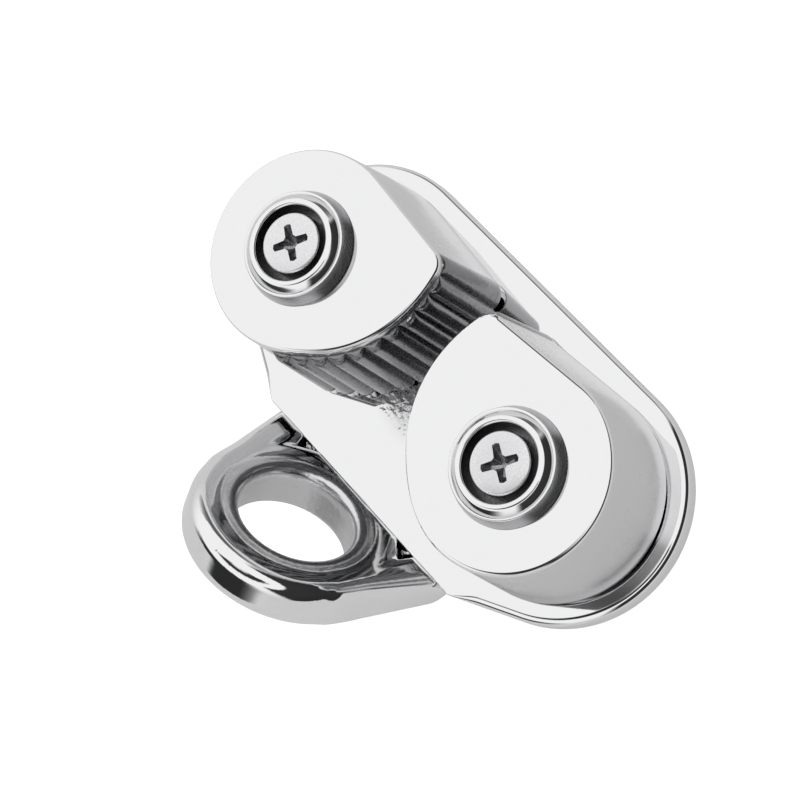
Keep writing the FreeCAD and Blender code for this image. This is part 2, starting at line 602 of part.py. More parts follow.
def cam_shape(mirrored, bevel, inset):
    """One cam about its pivot: drafted body, ridges, bore, spring well, stop slot."""
    z0, z1 = d("cam_bottom"), d("cam_top")
    rise = z1 - z0

    def slant(z):
        return d("cam_draft") * (z1 - z) / rise

    full, stand = d("tooth_out"), 0.12
    crown = z1 - d("tooth_top_gap")
    dome = crown - d("tooth_dome")
    levels = [(z0, full), (dome, full), (dome + 0.55 * d("tooth_dome"), 0.8 * full),
              (dome + 0.9 * d("tooth_dome"), 0.45 * full), (crown, stand)]
    # The cap stands a hair inside the toothed body, so that their outlines never coincide.
    hair = 0.03
    toothed = Part.makeLoft([cam_wire(slant(z) + hair, z, out) for z, out in levels], True, True)
    cap = Part.makeLoft([cam_wire(slant(crown), crown), cam_wire(slant(z1 - bevel), z1 - bevel),
                         cam_wire(-d("edge_break"), z1, None, inset)], True, True)
    cam = toothed.fuse(cap)
    assert len(cam.Solids) == 1, "the cam's cap is not joined to its body"
    cuts = [
        Part.makeCylinder(d("cam_bore_r"), rise + 2, V(0, 0, z0 - 1)),
        Part.makeCylinder(d("cam_bore_r") + 0.2, d("washer_t") + d("axial_gap") + 1,
                          V(0, 0, z1 - d("washer_t") - d("axial_gap"))),
        Part.makeCylinder(d("well_outer_r"), d("well_depth") + 1, V(0, 0, z0 - 1)).cut(
            Part.makeCylinder(d("well_inner_r"), d("well_depth") + 2, V(0, 0, z0 - 1.5))),
    ]
    # The stop slot: the peg's path in the cam as the cam opens.
    mean, half = d("stop_ring_r"), d("stop_slot_half")
    first, last = math.radians(d("stop_angle") - d("open_angle")), math.radians(d("stop_angle"))

    def polar(r, angle):
        return V(r * math.cos(angle), r * math.sin(angle), z0 - 1)

    def slot_end(angle, way):
        ahead = V(-math.sin(angle), math.cos(angle), 0) * way
        return polar(mean, angle) + ahead * half

    middle = (first + last) / 2
    slot = Part.Wire([
        Part.Arc(polar(mean + half, first), polar(mean + half, middle), polar(mean + half, last)).toShape(),
        Part.Arc(polar(mean + half, last), slot_end(last, 1), polar(mean - half, last)).toShape(),
        Part.Arc(polar(mean - half, last), polar(mean - half, middle), polar(mean - half, first)).toShape(),
        Part.Arc(polar(mean - half, first), slot_end(first, -1), polar(mean + half, first)).toShape(),
    ])
    cuts.append(Part.Face(slot).extrude(V(0, 0, d("stop_slot_depth") + 1)))
    leg_r, leg_way = leg_spot(1)
    leg_way = math.radians(leg_way)
    cuts.append(Part.makeCylinder(d("leg_hole_r"), d("leg_len") + d("well_depth"),
                                  V(leg_r * math.cos(leg_way), leg_r * math.sin(leg_way), z0)))
    for tool in cuts:
        before = cam.Volume
        cam = cam.cut(tool)
        assert cam.Volume < before - 1e-3, "a cut in the cam removed nothing"
    if mirrored:
        cam = cam.mirror(V(0, 0, 0), V(1, 0, 0))
    return cam


def spring_shape(mirrored):
    """A torsion spring round the pivot: a coil whose ends bend into upright legs."""
    radius, wire, bend, leg = d("coil_r"), d("wire_r"), d("leg_bend"), V(0, 0, d("leg_len"))
    height = d("coil_pitch") * d("coil_turns")
    climb = math.atan(d("coil_pitch") / (2 * math.pi * radius))

    def bent_end(end, up):
        """The bend from the coil's end to its leg: where the leg starts, and a point between."""
        inward = V(0, -math.sin(climb), math.cos(climb)) * up
        centre = end + inward * bend
        return centre + V(0, up, 0) * bend, centre + (V(0, up, 0) - inward).normalize() * bend

    first, last = V(radius, 0, 0), V(radius, 0, height)
    low, low_mid = bent_end(first, -1)
    high, high_mid = bent_end(last, 1)
    path = [Part.LineSegment(low - leg, low).toShape(), Part.Arc(low, low_mid, first).toShape()]
    for turn in range(round(d("coil_turns"))):
        lift = FreeCAD.Placement(V(0, 0, turn * d("coil_pitch")), FreeCAD.Rotation())
        path += Part.makeHelix(d("coil_pitch"), d("coil_pitch"), radius).transformed(lift.toMatrix(), True).Edges
    path += [Part.Arc(last, high_mid, high).toShape(), Part.LineSegment(high, high + leg).toShape()]
    section = Part.Wire(Part.Circle(low - leg, V(0, 0, 1), wire).toShape())
    spring = Part.Wire(path).makePipeShell([section], True, False)
    lay = FreeCAD.Placement(V(0, 0, d("coil_start")), FreeCAD.Rotation(V(0, 0, 1), d("leg_angle")))
    spring = spring.transformed(lay.toMatrix(), True)
    return spring.mirror(V(0, 0, 0), V(1, 0, 0)) if mirrored else spring


def shaped(name, side, shape):
    """A feature whose shape is built above from the sheet, stood on its pivot."""
    feature = doc.addObject("Part::Feature", name)
    feature.Label = name
    feature.Shape = shape
    feature.Placement = FreeCAD.Placement(V(side * d("pivot_half"), 0, 0), FreeCAD.Rotation())
    return feature


nodes.append(shaped("left_cam", -1, cam_shape(False, d("edge_break"), 0.0)))
nodes.append(shaped("right_cam", 1, cam_shape(True, d("right_bevel"), d("right_inset"))))
for side, sign in SIDES:
    nodes.append(shaped(side + "_spring", sign, spring_shape(sign > 0)))

# --- checks and output -------------------------------------------------------------------
doc.recompute()
for item in doc.Objects:
    assert "Invalid" not in item.State and "Error" not in item.State, item.Name + " did not compute"
os.makedirs("parts", exist_ok=True)
for node in nodes:
    shape = node.Shape
    assert not shape.isNull() and shape.isValid(), node.Label + " has no valid shape"
    assert len(shape.Solids) == 1, node.Label + " is not one solid"
    shape.exportStep("parts/%s.step" % node.Label)
    box = shape.BoundBox
    print("%-20s %8.1f mm3  x %6.1f..%5.1f  y %6.1f..%5.1f  z %6.1f..%5.1f"
          % (node.Label, shape.Volume, box.XMin, box.XMax, box.YMin, box.YMax, box.ZMin, box.ZMax))
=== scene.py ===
# %% [markdown]
# # A double cam cleat with a leading ring
# Two toothed cams turn on upright pivots and pinch a line between them. They stand on a
# cast plate with a ring in front of it that leads the line in. Everything is stainless
# steel: castings polished to a mirror, turned pivots, and satin screws.
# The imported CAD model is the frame. It says where the pieces stand and what moves.

# %% Load the frame
import json
import math
import bmesh
import bpy
import numpy as np
from mathutils import Matrix, Vector


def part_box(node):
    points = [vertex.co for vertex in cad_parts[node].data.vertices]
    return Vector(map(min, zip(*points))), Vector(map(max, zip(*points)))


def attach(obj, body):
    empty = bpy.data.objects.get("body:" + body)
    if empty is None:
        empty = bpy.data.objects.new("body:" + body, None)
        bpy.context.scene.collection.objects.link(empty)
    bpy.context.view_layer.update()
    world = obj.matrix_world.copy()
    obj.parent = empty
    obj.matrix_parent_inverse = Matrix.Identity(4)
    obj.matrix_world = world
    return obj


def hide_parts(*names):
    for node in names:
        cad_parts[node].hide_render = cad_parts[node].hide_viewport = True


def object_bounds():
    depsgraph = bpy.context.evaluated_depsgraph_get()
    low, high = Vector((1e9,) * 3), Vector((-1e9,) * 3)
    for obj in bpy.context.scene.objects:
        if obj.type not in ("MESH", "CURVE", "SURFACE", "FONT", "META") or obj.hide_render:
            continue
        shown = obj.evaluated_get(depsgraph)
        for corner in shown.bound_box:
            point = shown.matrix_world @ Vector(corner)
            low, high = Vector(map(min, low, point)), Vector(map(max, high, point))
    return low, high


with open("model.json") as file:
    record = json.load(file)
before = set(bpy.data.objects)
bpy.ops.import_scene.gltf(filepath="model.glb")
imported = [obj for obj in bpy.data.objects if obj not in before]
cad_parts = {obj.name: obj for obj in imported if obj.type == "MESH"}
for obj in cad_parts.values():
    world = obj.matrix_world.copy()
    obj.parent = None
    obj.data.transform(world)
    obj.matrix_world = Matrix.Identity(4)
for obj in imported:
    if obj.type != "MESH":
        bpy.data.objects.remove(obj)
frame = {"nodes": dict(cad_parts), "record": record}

MM, MICRON = 0.001, 0.000001
nodes = frame["nodes"]
cad_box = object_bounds()
print("CAD box, mm:", [[round(c / MM, 2) for c in corner] for corner in cad_box])

# %% [markdown]
# ## The camera
# A camera could stand level in front of the cleat, but then the cams would hide their own
# pivots. So it stands high on the right, behind the cams, and looks down on their flat
# tops. A long lens keeps the two cams nearly the same size. It is rolled, so that the
# plate runs from the upper left to the lower right.

# %% Camera
camera = bpy.data.objects.new("camera", bpy.data.cameras.new("camera"))
bpy.context.scene.collection.objects.link(camera)
camera.data.sensor_width = 36
camera.data.lens = 114.38
camera.data.clip_start, camera.data.clip_end = 0.01, 10
place = Vector((130.62, 37.22, 268.25)) * MM
aim = Vector((-4.056, -6.124, 3.061)) * MM
roll = math.radians(-63.206)
camera.location = place
camera.rotation_mode = "QUATERNION"
level = (aim - place).to_track_quat("-Z", "Y")
camera.rotation_quaternion = level @ Matrix.Rotation(roll, 4, "Z").to_quaternion()
bpy.context.scene.camera = camera
bpy.context.scene.view_settings.view_transform = "Standard"
print("camera distance, mm:", round((place - aim).length / MM, 1))

# %% [markdown]
# ## The room
# Polished steel has no colour of its own: it shows the room. Such a piece is put in a
# white tent with dark gaps left in it, because a mirror in an all-white room has no
# visible shape. The gaps could be black cards, but those would stand in the way of other
# views, so they are drawn on the world behind everything. The flat tops see white cloth.
# Every rounded edge sweeps past the wide gap that runs low round the right and the back,
# and gets its thin dark line. The ring shows the narrow gap in front, and the plate
# mirrors the high one. The gaps are made from directions only, so they stay put when the
# camera moves.

# %% Tent
world = bpy.data.worlds.new("tent")
bpy.context.scene.world = world
world.use_nodes = True
world_tree = world.node_tree
world_tree.nodes.clear()


def add(tree, kind, **settings):
    """A node in a tree, with its own settings."""
    made = tree.nodes.new(kind)
    for key, value in settings.items():
        setattr(made, key, value)
    return made


def feed(tree, socket, source):
    """Link a socket to another node's output, or give it a plain value."""
    if isinstance(source, bpy.types.NodeSocket):
        tree.links.new(source, socket)
    else:
        socket.default_value = source


def arithmetic(tree, operation, *sources):
    made = add(tree, "ShaderNodeMath", operation=operation)
    for socket, source in zip(made.inputs, sources):
        feed(tree, socket, source)
    return made.outputs[0]


def times(tree, first, second):
    return arithmetic(tree, "MULTIPLY", first, second)


def ease(tree, source, low, high, start=0.0, end=1.0):
    """A smooth step from `start` to `end` as the source goes from low to high."""
    made = add(tree, "ShaderNodeMapRange", interpolation_type="SMOOTHSTEP")
    for socket, value in zip(made.inputs, (source, low, high, start, end)):
        feed(tree, socket, value)
    return made.outputs["Result"]


def along(tree, direction, heading):
    """How far a direction lies along a fixed heading, from -1 to 1."""
    made = add(tree, "ShaderNodeVectorMath", operation="DOT_PRODUCT")
    feed(tree, made.inputs[0], direction)
    made.inputs[1].default_value = Vector(heading).normalized()
    return made.outputs["Value"]


def heading(azimuth, elevation):
    """A direction from its compass angle about +Z, from +X, and its height in degrees."""
    a, e = math.radians(azimuth), math.radians(elevation)
    return (math.cos(a) * math.cos(e), math.sin(a) * math.cos(e), math.sin(e))


# %% Gaps in the tent
SOFT_FOOT, SOFT_TOP, SOFT_ENDS = 0.03, 0.02, 0.12      # how gently a gap's edges fade
look = add(world_tree, "ShaderNodeTexCoord").outputs["Generated"]
upward = along(world_tree, look, (0, 0, 1))


def gap(lowest, highest, middle, half_width):
    """A dark opening between two heights, in degrees, either side of a compass angle."""
    bottom, top = math.sin(math.radians(lowest)), math.sin(math.radians(highest))
    # a hair over 1, so that the root is never zero straight up
    level = arithmetic(world_tree, "SQRT", arithmetic(
        world_tree, "SUBTRACT", 1.0001, times(world_tree, upward, upward)))
    turned = arithmetic(world_tree, "DIVIDE", along(world_tree, look, heading(middle, 0)), level)
    edge = math.cos(math.radians(half_width))
    rows = arithmetic(world_tree, "MULTIPLY",
                      ease(world_tree, upward, bottom - SOFT_FOOT, bottom + SOFT_FOOT),
                      ease(world_tree, upward, top + SOFT_TOP, top - SOFT_TOP))
    return times(world_tree, rows, ease(world_tree, turned, edge - SOFT_ENDS, edge + SOFT_ENDS))


WIDE_GAP, BACK_GAP = (4, 47, 31, 69), (13, 30, 124, 22)
FRONT_GAP, HIGH_GAP = (8, 28, -105, 36), (61, 80, -60, 80)
GAP_DARKNESS, CLOTH_AT_FLOOR, CLOTH_ABOVE = 0.965, 0.66, 1.0
darkest = gap(*WIDE_GAP)
for opening in (BACK_GAP, FRONT_GAP, HIGH_GAP):
    darkest = arithmetic(world_tree, "MAXIMUM", darkest, gap(*opening))
cloth = ease(world_tree, upward, 0.0, 0.6, CLOTH_AT_FLOOR, CLOTH_ABOVE)
shut = arithmetic(world_tree, "SUBTRACT", 1.0, times(world_tree, darkest, GAP_DARKNESS))
tent_light = times(world_tree, cloth, shut)
background = add(world_tree, "ShaderNodeBackground")
background.inputs["Color"].default_value = (1.0, 1.0, 1.0, 1.0)
feed(world_tree, background.inputs["Strength"], tent_light)
feed(world_tree, add(world_tree, "ShaderNodeOutputWorld").inputs[0], background.outputs[0])
print("tent nodes:", len(world_tree.nodes))

# %% [markdown]
# ## The floor
# A sheet of pale paper. Lamps could burn it out to white, but they would also show in
# every polished face. So the paper glows a little by itself: strongly where the camera
# sees it, and weakly in the steel, where it is the light grey that the cams' sides mirror.

# %% Floor
GLOW_IN_STEEL, GLOW_SEEN = 0.14, 0.8
floor_mesh = bpy.data.meshes.new("floor")
sheet = bmesh.new()
bmesh.ops.create_grid(sheet, x_segments=1, y_segments=1, size=1.5)
sheet.to_mesh(floor_mesh)
sheet.free()
floor = bpy.data.objects.new("floor", floor_mesh)
bpy.context.scene.collection.objects.link(floor)
floor.location.z = cad_box[0].z - 0.5 * MM
paper = bpy.data.materials.new("floor_paper")
paper.use_nodes = True
paper_tree = paper.node_tree
paper_shader = paper_tree.nodes["Principled BSDF"]
paper_shader.inputs["Base Color"].default_value = (0.8, 0.8, 0.8, 1)
paper_shader.inputs["Roughness"].default_value = 0.9
paper_shader.inputs["Emission Color"].default_value = (1, 1, 1, 1)
seen = add(paper_tree, "ShaderNodeLightPath").outputs["Is Camera Ray"]
feed(paper_tree, paper_shader.inputs["Emission Strength"],
     ease(paper_tree, seen, 0.0, 1.0, GLOW_IN_STEEL, GLOW_SEEN))
floor_mesh.materials.append(paper)
print("floor at z =", round(floor.location.z / MM, 2), "mm")

# %% [markdown]
# ## Effects that several finishes share
# A surface keeps the marks of how it was made. The same nodes could be repeated in every
# material, but a node group is easier to change: it is a small effect with named inputs
# and outputs that every material can place with its own values. Four are built here.

# %% Group helpers
def new_group(name, inputs, outputs):
    """An empty shader node group with float inputs and outputs, and its end nodes."""
    tree = bpy.data.node_groups.new(name, "ShaderNodeTree")
    for label, value in inputs.items():
        socket = tree.interface.new_socket(name=label, in_out="INPUT", socket_type="NodeSocketFloat")
        socket.default_value = value
    for label in outputs:
        tree.interface.new_socket(name=label, in_out="OUTPUT", socket_type="NodeSocketFloat")
    return tree, add(tree, "NodeGroupInput"), add(tree, "NodeGroupOutput")


def noise(tree, position, scale, detail=2.0, roughness=0.5):
    made = add(tree, "ShaderNodeTexNoise")
    feed(tree, made.inputs["Vector"], position)
    feed(tree, made.inputs["Scale"], scale)
    made.inputs["Detail"].default_value = detail
    made.inputs["Roughness"].default_value = roughness
    return made.outputs["Fac"]


def stretched(tree, position, scale):
    made = add(tree, "ShaderNodeMapping")
    feed(tree, made.inputs["Vector"], position)
    made.inputs["Scale"].default_value = scale
    return made.outputs["Vector"]


# %% [markdown]
# ### Casting skin
# A mould leaves a soft ripple and a fine grain. A real cast could be scanned, but two
# noises of different sizes look the same at this distance and never repeat.

# %% Casting skin
RIPPLE_SCALE, GRAIN_SCALE = 1500.0, 6500.0        # per metre: spots of 0.7 mm and 0.15 mm
skin_tree, skin_in, skin_out = new_group("casting_skin", {"Ripple": 1.0, "Grain": 0.3}, ["Height", "Dull"])
spot = add(skin_tree, "ShaderNodeTexCoord").outputs["Object"]
ripple = noise(skin_tree, spot, RIPPLE_SCALE, 1.0)
grain = noise(skin_tree, spot, GRAIN_SCALE, 3.0, 0.6)
feed(skin_tree, skin_out.inputs["Height"], arithmetic(
    skin_tree, "ADD", times(skin_tree, ripple, skin_in.outputs["Ripple"]),
    times(skin_tree, grain, skin_in.outputs["Grain"])))
feed(skin_tree, skin_out.inputs["Dull"], ease(skin_tree, grain, 0.35, 0.7))

# %% [markdown]
# ### Polish marks
# A buffing wheel leaves faint hairlines along its path, and haze where the paste dried.
# Each could be cut in the mesh. Noise stretched along one axis costs nothing, and two
# of them crossed break the lines up as real strokes do.

# %% Polish marks
marks_tree, marks_in, marks_out = new_group("polish_marks", {"Shine": 0.03, "Haze": 0.03},
                                            ["Height", "Roughness"])
spot = add(marks_tree, "ShaderNodeTexCoord").outputs["Object"]
hairlines = noise(marks_tree, stretched(marks_tree, spot, (300.0, 9000.0, 900.0)), 1.0, 2.0)
cross_lines = noise(marks_tree, stretched(marks_tree, spot, (7000.0, 500.0, 900.0)), 1.0, 2.0)
cloud = noise(marks_tree, spot, 120.0, 3.0)
feed(marks_tree, marks_out.inputs["Height"], arithmetic(
    marks_tree, "MULTIPLY", ease(marks_tree, hairlines, 0.55, 0.75), ease(marks_tree, cross_lines, 0.4, 0.8)))
feed(marks_tree, marks_out.inputs["Roughness"], arithmetic(
    marks_tree, "ADD", marks_in.outputs["Shine"],
    times(marks_tree, ease(marks_tree, cloud, 0.4, 0.75), marks_in.outputs["Haze"])))

# %% [markdown]
# ### Turning marks
# A lathe tool leaves rings round the part's axis. They could be modelled, but a wave of
# the distance from the axis is lighter. Height is added to it, so walls get rings too.

# %% Turning marks
lathe_tree, lathe_in, lathe_out = new_group("turning_marks", {"Axis X": 0.0, "Spacing": 0.00012},
                                            ["Height", "Band"])
spot = add(lathe_tree, "ShaderNodeTexCoord").outputs["Object"]
parts = add(lathe_tree, "ShaderNodeSeparateXYZ")
feed(lathe_tree, parts.inputs[0], spot)
across = arithmetic(lathe_tree, "SUBTRACT", parts.outputs["X"], lathe_in.outputs["Axis X"])
far_out = arithmetic(lathe_tree, "SQRT", arithmetic(
    lathe_tree, "ADD", arithmetic(lathe_tree, "POWER", across, 2.0),
    arithmetic(lathe_tree, "POWER", parts.outputs["Y"], 2.0)))
run = arithmetic(lathe_tree, "ADD", far_out, parts.outputs["Z"])
turns = arithmetic(lathe_tree, "DIVIDE", run, lathe_in.outputs["Spacing"])
feed(lathe_tree, lathe_out.inputs["Height"], arithmetic(
    lathe_tree, "SINE", times(lathe_tree, turns, 2 * math.pi)))
line = add(lathe_tree, "ShaderNodeCombineXYZ")
feed(lathe_tree, line.inputs[0], turns)
feed(lathe_tree, lathe_out.inputs["Band"], noise(lathe_tree, line.outputs[0], 0.6, 4.0, 0.7))

# %% [markdown]
# ### Worn edges and painted highlight
# Use rubs the crests of a rough surface bright, and the same brightness stands in for the
# highlight that the crests catch: partly wear, partly painted highlight. A mask could be
# painted, but the mesh's own pointiness finds the crests and follows any change of shape.

# %% Worn edges and painted highlight
wear_and_highlight_tree, wear_and_highlight_in, wear_and_highlight_out = new_group("worn_edges_and_highlight", {"Reach": 0.52}, ["Mask"])
sharp = add(wear_and_highlight_tree, "ShaderNodeNewGeometry").outputs["Pointiness"]
# Painted highlight: the mask marks the crests that the ridge finish paints bright, partly as wear.
feed(wear_and_highlight_tree, wear_and_highlight_out.inputs["Mask"], ease(wear_and_highlight_tree, sharp, wear_and_highlight_in.outputs["Reach"], 0.62))
print("groups:", [g.name for g in bpy.data.node_groups])

# %% [markdown]
# ## The finishes
# Each finish is a metal shader with the groups that its surface has. One roughness all
# over would look like foil, so buffing haze, mould grain or lathe rings vary it.

# %% Finish helpers
def finish_of(name, colour, metallic=1.0):
    """A material and its tree, with a plain metal or plastic shader."""
    made = bpy.data.materials.new(name)
    made.use_nodes = True
    shader = made.node_tree.nodes["Principled BSDF"]
    shader.inputs["Base Color"].default_value = (*colour, 1)
    shader.inputs["Metallic"].default_value = metallic
    return made, made.node_tree, shader


def placed(tree, group, **values):
    """One group in a material, with its own input values."""
    made = add(tree, "ShaderNodeGroup", node_tree=bpy.data.node_groups[group])
    for label, value in values.items():
        made.inputs[label.replace("_", " ")].default_value = value
    return made.outputs


def bump(tree, shader, height, depth, strength=1.0):
    """Feed the shader's normal from a height, `depth` metres at its fullest."""
    made = add(tree, "ShaderNodeBump")
    made.inputs["Strength"].default_value = strength
    made.inputs["Distance"].default_value = depth
    feed(tree, made.inputs["Height"], height)
    feed(tree, shader.inputs["Normal"], made.outputs[0])


def tinted(tree, shader, amount, light, dark):
    """Vary the shader's colour between two tones."""
    made = add(tree, "ShaderNodeMix", data_type="RGBA")
    feed(tree, made.inputs["Factor"], amount)
    made.inputs[6].default_value = (*light, 1)
    made.inputs[7].default_value = (*dark, 1)
    feed(tree, shader.inputs["Base Color"], made.outputs[2])


STEEL = (0.86, 0.86, 0.865)
DULL_STEEL = (0.62, 0.62, 0.63)

# %% [markdown]
# ### Mirror polish
# The cams' flat tops are buffed with finer and finer paste. A perfect mirror would be
# simpler, but real ones have a trace of haze.

# %% Mirror polish, for the cams
mirror_steel, tree, shader = finish_of("mirror_steel", STEEL)
marks = placed(tree, "polish_marks", Shine=0.018, Haze=0.03)
feed(tree, shader.inputs["Roughness"], marks["Roughness"])
tinted(tree, shader, times(tree, marks["Height"], 0.12), STEEL, (0.78, 0.78, 0.79))
bump(tree, shader, marks["Height"], 0.4 * MICRON)

# %% [markdown]
# ### The plate
# The plate is a mirror too, but between the cams no wheel can reach, so the mould's
# ripple is left there. It could be a patch of mesh, but a mask by the distance from one
# point has no seam.

# %% The plate's polish, with ripple near one point
RIPPLE_AT = Vector((-2.0, -3.5, 2.5)) * MM
RIPPLE_FULL, RIPPLE_NONE = 4.0 * MM, 7.0 * MM
plate_steel, tree, shader = finish_of("plate_steel", STEEL)
marks = placed(tree, "polish_marks", Shine=0.02, Haze=0.03)
skin = placed(tree, "casting_skin", Ripple=1.0, Grain=0.12)
away = add(tree, "ShaderNodeVectorMath", operation="DISTANCE")
feed(tree, away.inputs[0], add(tree, "ShaderNodeTexCoord").outputs["Object"])
away.inputs[1].default_value = RIPPLE_AT
rippled = ease(tree, away.outputs["Value"], RIPPLE_NONE, RIPPLE_FULL)
feed(tree, shader.inputs["Roughness"], arithmetic(
    tree, "ADD", marks["Roughness"], times(tree, rippled, 0.1)))
tinted(tree, shader, rippled, STEEL, (0.74, 0.74, 0.75))
bump(tree, shader, arithmetic(tree, "ADD", times(tree, marks["Height"], 0.004),
                              times(tree, skin["Height"], rippled)), 90 * MICRON)

# %% [markdown]
# ### The cams' plain sides
# The walls are buffed less than the tops, because a wheel slips off an upright wall.
# They could share the mirror, but with more haze they mirror the floor softly.

# %% The cams' plain sides
side_steel, tree, shader = finish_of("side_steel", STEEL)
marks = placed(tree, "polish_marks", Shine=0.24, Haze=0.06)
feed(tree, shader.inputs["Roughness"], marks["Roughness"])
tinted(tree, shader, times(tree, marks["Height"], 0.3),
       (0.74, 0.74, 0.75), (0.64, 0.64, 0.65))
bump(tree, shader, marks["Height"], MICRON)

# %% [markdown]
# ### The ridges
# The ridges stay as the mould left them, grainy and darker, and the line rubs their
# crests bright. The bright crests are partly that wear and partly a painted highlight,
# and the lands' dark tone is partly painted shade: one grey would hide the ridges, so the
# crest mask mixes two tones.

# %% As-cast ridges with rubbed crests, a painted highlight and painted shade
ridge_steel, tree, shader = finish_of("ridge_steel", DULL_STEEL)
skin = placed(tree, "casting_skin", Ripple=1.0, Grain=0.5)
wear_and_highlight = placed(tree, "worn_edges_and_highlight", Reach=0.505)
rubbed_and_highlit = ease(tree, wear_and_highlight["Mask"], 0.0, 1.0)
# Painted highlight and shade: the crest mask lifts the crests to bright steel, partly as wear, over lands
# painted dark.
tinted(tree, shader, rubbed_and_highlit, (0.27, 0.27, 0.28), STEEL)
feed(tree, shader.inputs["Roughness"], arithmetic(
    tree, "SUBTRACT", arithmetic(tree, "ADD", 0.14, times(tree, skin["Dull"], 0.16)),
    times(tree, rubbed_and_highlit, 0.1)))
bump(tree, shader, skin["Height"], 50 * MICRON, 0.7)

# %% [markdown]
# ### The ring
# The ring is polished by hand on the outside, and its bore has only the mould's shape.
# Two materials would meet in a hard line, so one material reads a value that the mesh
# carries at every point, and goes smoothly from polish to bare casting.

# %% The ring's polish and its bare bore
ring_steel, tree, shader = finish_of("ring_steel", STEEL)
marks = placed(tree, "polish_marks", Shine=0.05, Haze=0.05)
skin = placed(tree, "casting_skin", Ripple=0.8, Grain=0.5)
bare = add(tree, "ShaderNodeAttribute", attribute_name="unpolished").outputs["Fac"]
tinted(tree, shader, bare, STEEL, DULL_STEEL)
feed(tree, shader.inputs["Roughness"], arithmetic(
    tree, "ADD", marks["Roughness"], times(tree, bare, 0.26)))
bump(tree, shader, times(tree, skin["Height"], arithmetic(
    tree, "ADD", times(tree, bare, 1.6), 0.02)), 60 * MICRON, 0.8)

# %% [markdown]
# ### Turned steel
# The pivots come off a lathe. Their flanks keep the tool's rings, and their rims are
# buffed. The rings run round the axis of the part, so each pivot has its own material.

# %% Turned flanks and buffed rims
def turned_steel(name, axis_x):
    made, tree, shader = finish_of(name, (0.72, 0.72, 0.73))
    rings = placed(tree, "turning_marks", Axis_X=axis_x, Spacing=0.00012)
    feed(tree, shader.inputs["Roughness"], ease(tree, rings["Band"], 0.3, 0.7, 0.2, 0.38))
    tinted(tree, shader, rings["Band"], (0.60, 0.60, 0.61), (0.36, 0.36, 0.37))
    bump(tree, shader, rings["Height"], MICRON, 0.3)
    return made


def buffed_rim(name, axis_x):
    made, tree, shader = finish_of(name, STEEL)
    rings = placed(tree, "turning_marks", Axis_X=axis_x, Spacing=0.0003)
    marks = placed(tree, "polish_marks", Shine=0.05, Haze=0.05)
    feed(tree, shader.inputs["Roughness"], arithmetic(
        tree, "ADD", marks["Roughness"], times(tree, rings["Band"], 0.05)))
    bump(tree, shader, rings["Band"], 4 * MICRON, 0.5)
    return made


# %% [markdown]
# ### Recesses
# The pressed cross was bright once and is dull where the driver turns, and its darker
# metal is also painted shade. The counterbore round the head is darker still, because
# neither light nor the wheel gets in, and its dark metal is painted shade. Shadow
# alone is too weak for that in a white tent, so both are given a darker metal.

# %% The pressed cross and the counterbores, darkened with painted shade
def grained(name, ripple, grain, shiny, dull, light, dark, metallic=1.0):
    """A finish whose dullness and tone follow the mould's grain."""
    made, tree, shader = finish_of(name, light, metallic)
    skin = placed(tree, "casting_skin", Ripple=ripple, Grain=grain)
    feed(tree, shader.inputs["Roughness"], ease(tree, skin["Dull"], 0.0, 1.0, shiny, dull))
    tinted(tree, shader, skin["Dull"], light, dark)
    bump(tree, shader, skin["Height"], 10 * MICRON, 0.5)
    return made


# Painted shade: both tones are darker than the screw's own metal and stand in for the shade inside the cross
# and the counterbore; the cross's dullness is also wear.
pressed_cross = grained("pressed_cross", 0.5, 0.8, 0.22, 0.4, (0.44, 0.44, 0.45), (0.26, 0.26, 0.27))
recess_painted_shade = grained("recess_painted_shade", 0.3, 0.6, 0.3, 0.45, (0.2, 0.2, 0.205), (0.11, 0.11, 0.115))

# %% [markdown]
# ### Bought-in parts
# Screws are tumbled to a satin skin. Spring wire is drawn, which leaves lines along it.
# The bushes and washers are white acetal, a slippery plastic. Their CAD shapes are right,
# so these pieces stay as they are and only get a finish.

# %% Satin screws
satin_screw, tree, shader = finish_of("satin_screw", (0.80, 0.80, 0.81))
marks = placed(tree, "polish_marks", Shine=0.2, Haze=0.14)
skin = placed(tree, "casting_skin", Ripple=0.2, Grain=0.8)
feed(tree, shader.inputs["Roughness"], marks["Roughness"])
tinted(tree, shader, skin["Dull"], (0.84, 0.84, 0.85), (0.72, 0.72, 0.73))
bump(tree, shader, skin["Height"], 8 * MICRON, 0.5)

# %% Spring wire and white acetal
drawn_wire, tree, shader = finish_of("drawn_wire", (0.62, 0.62, 0.63))
marks = placed(tree, "polish_marks", Shine=0.22, Haze=0.15)
feed(tree, shader.inputs["Roughness"], marks["Roughness"])
bump(tree, shader, marks["Height"], 2 * MICRON, 0.6)

white_acetal = grained("white_acetal", 0.4, 0.4, 0.38, 0.52, (0.84, 0.84, 0.81), (0.76, 0.76, 0.72), 0.0)
for name, node in nodes.items():
    if "washer" in name or "bush" in name or "spring" in name:
        node.data.materials[0] = drawn_wire if "spring" in name else white_acetal
print("finishes:", [m.name for m in bpy.data.materials if m.users])


# %% [markdown]
# ## How the pieces are meshed
# A piece could be edited from a cube. Here each is a stack of outlines, a profile turned
# about an axis, or a smooth solid given by a formula, because then every size is a number
# that can be read. `stack` joins outlines that have the same number of points with rows
# of quads. Sharp edges are marked by angle, so that flat faces stay flat.

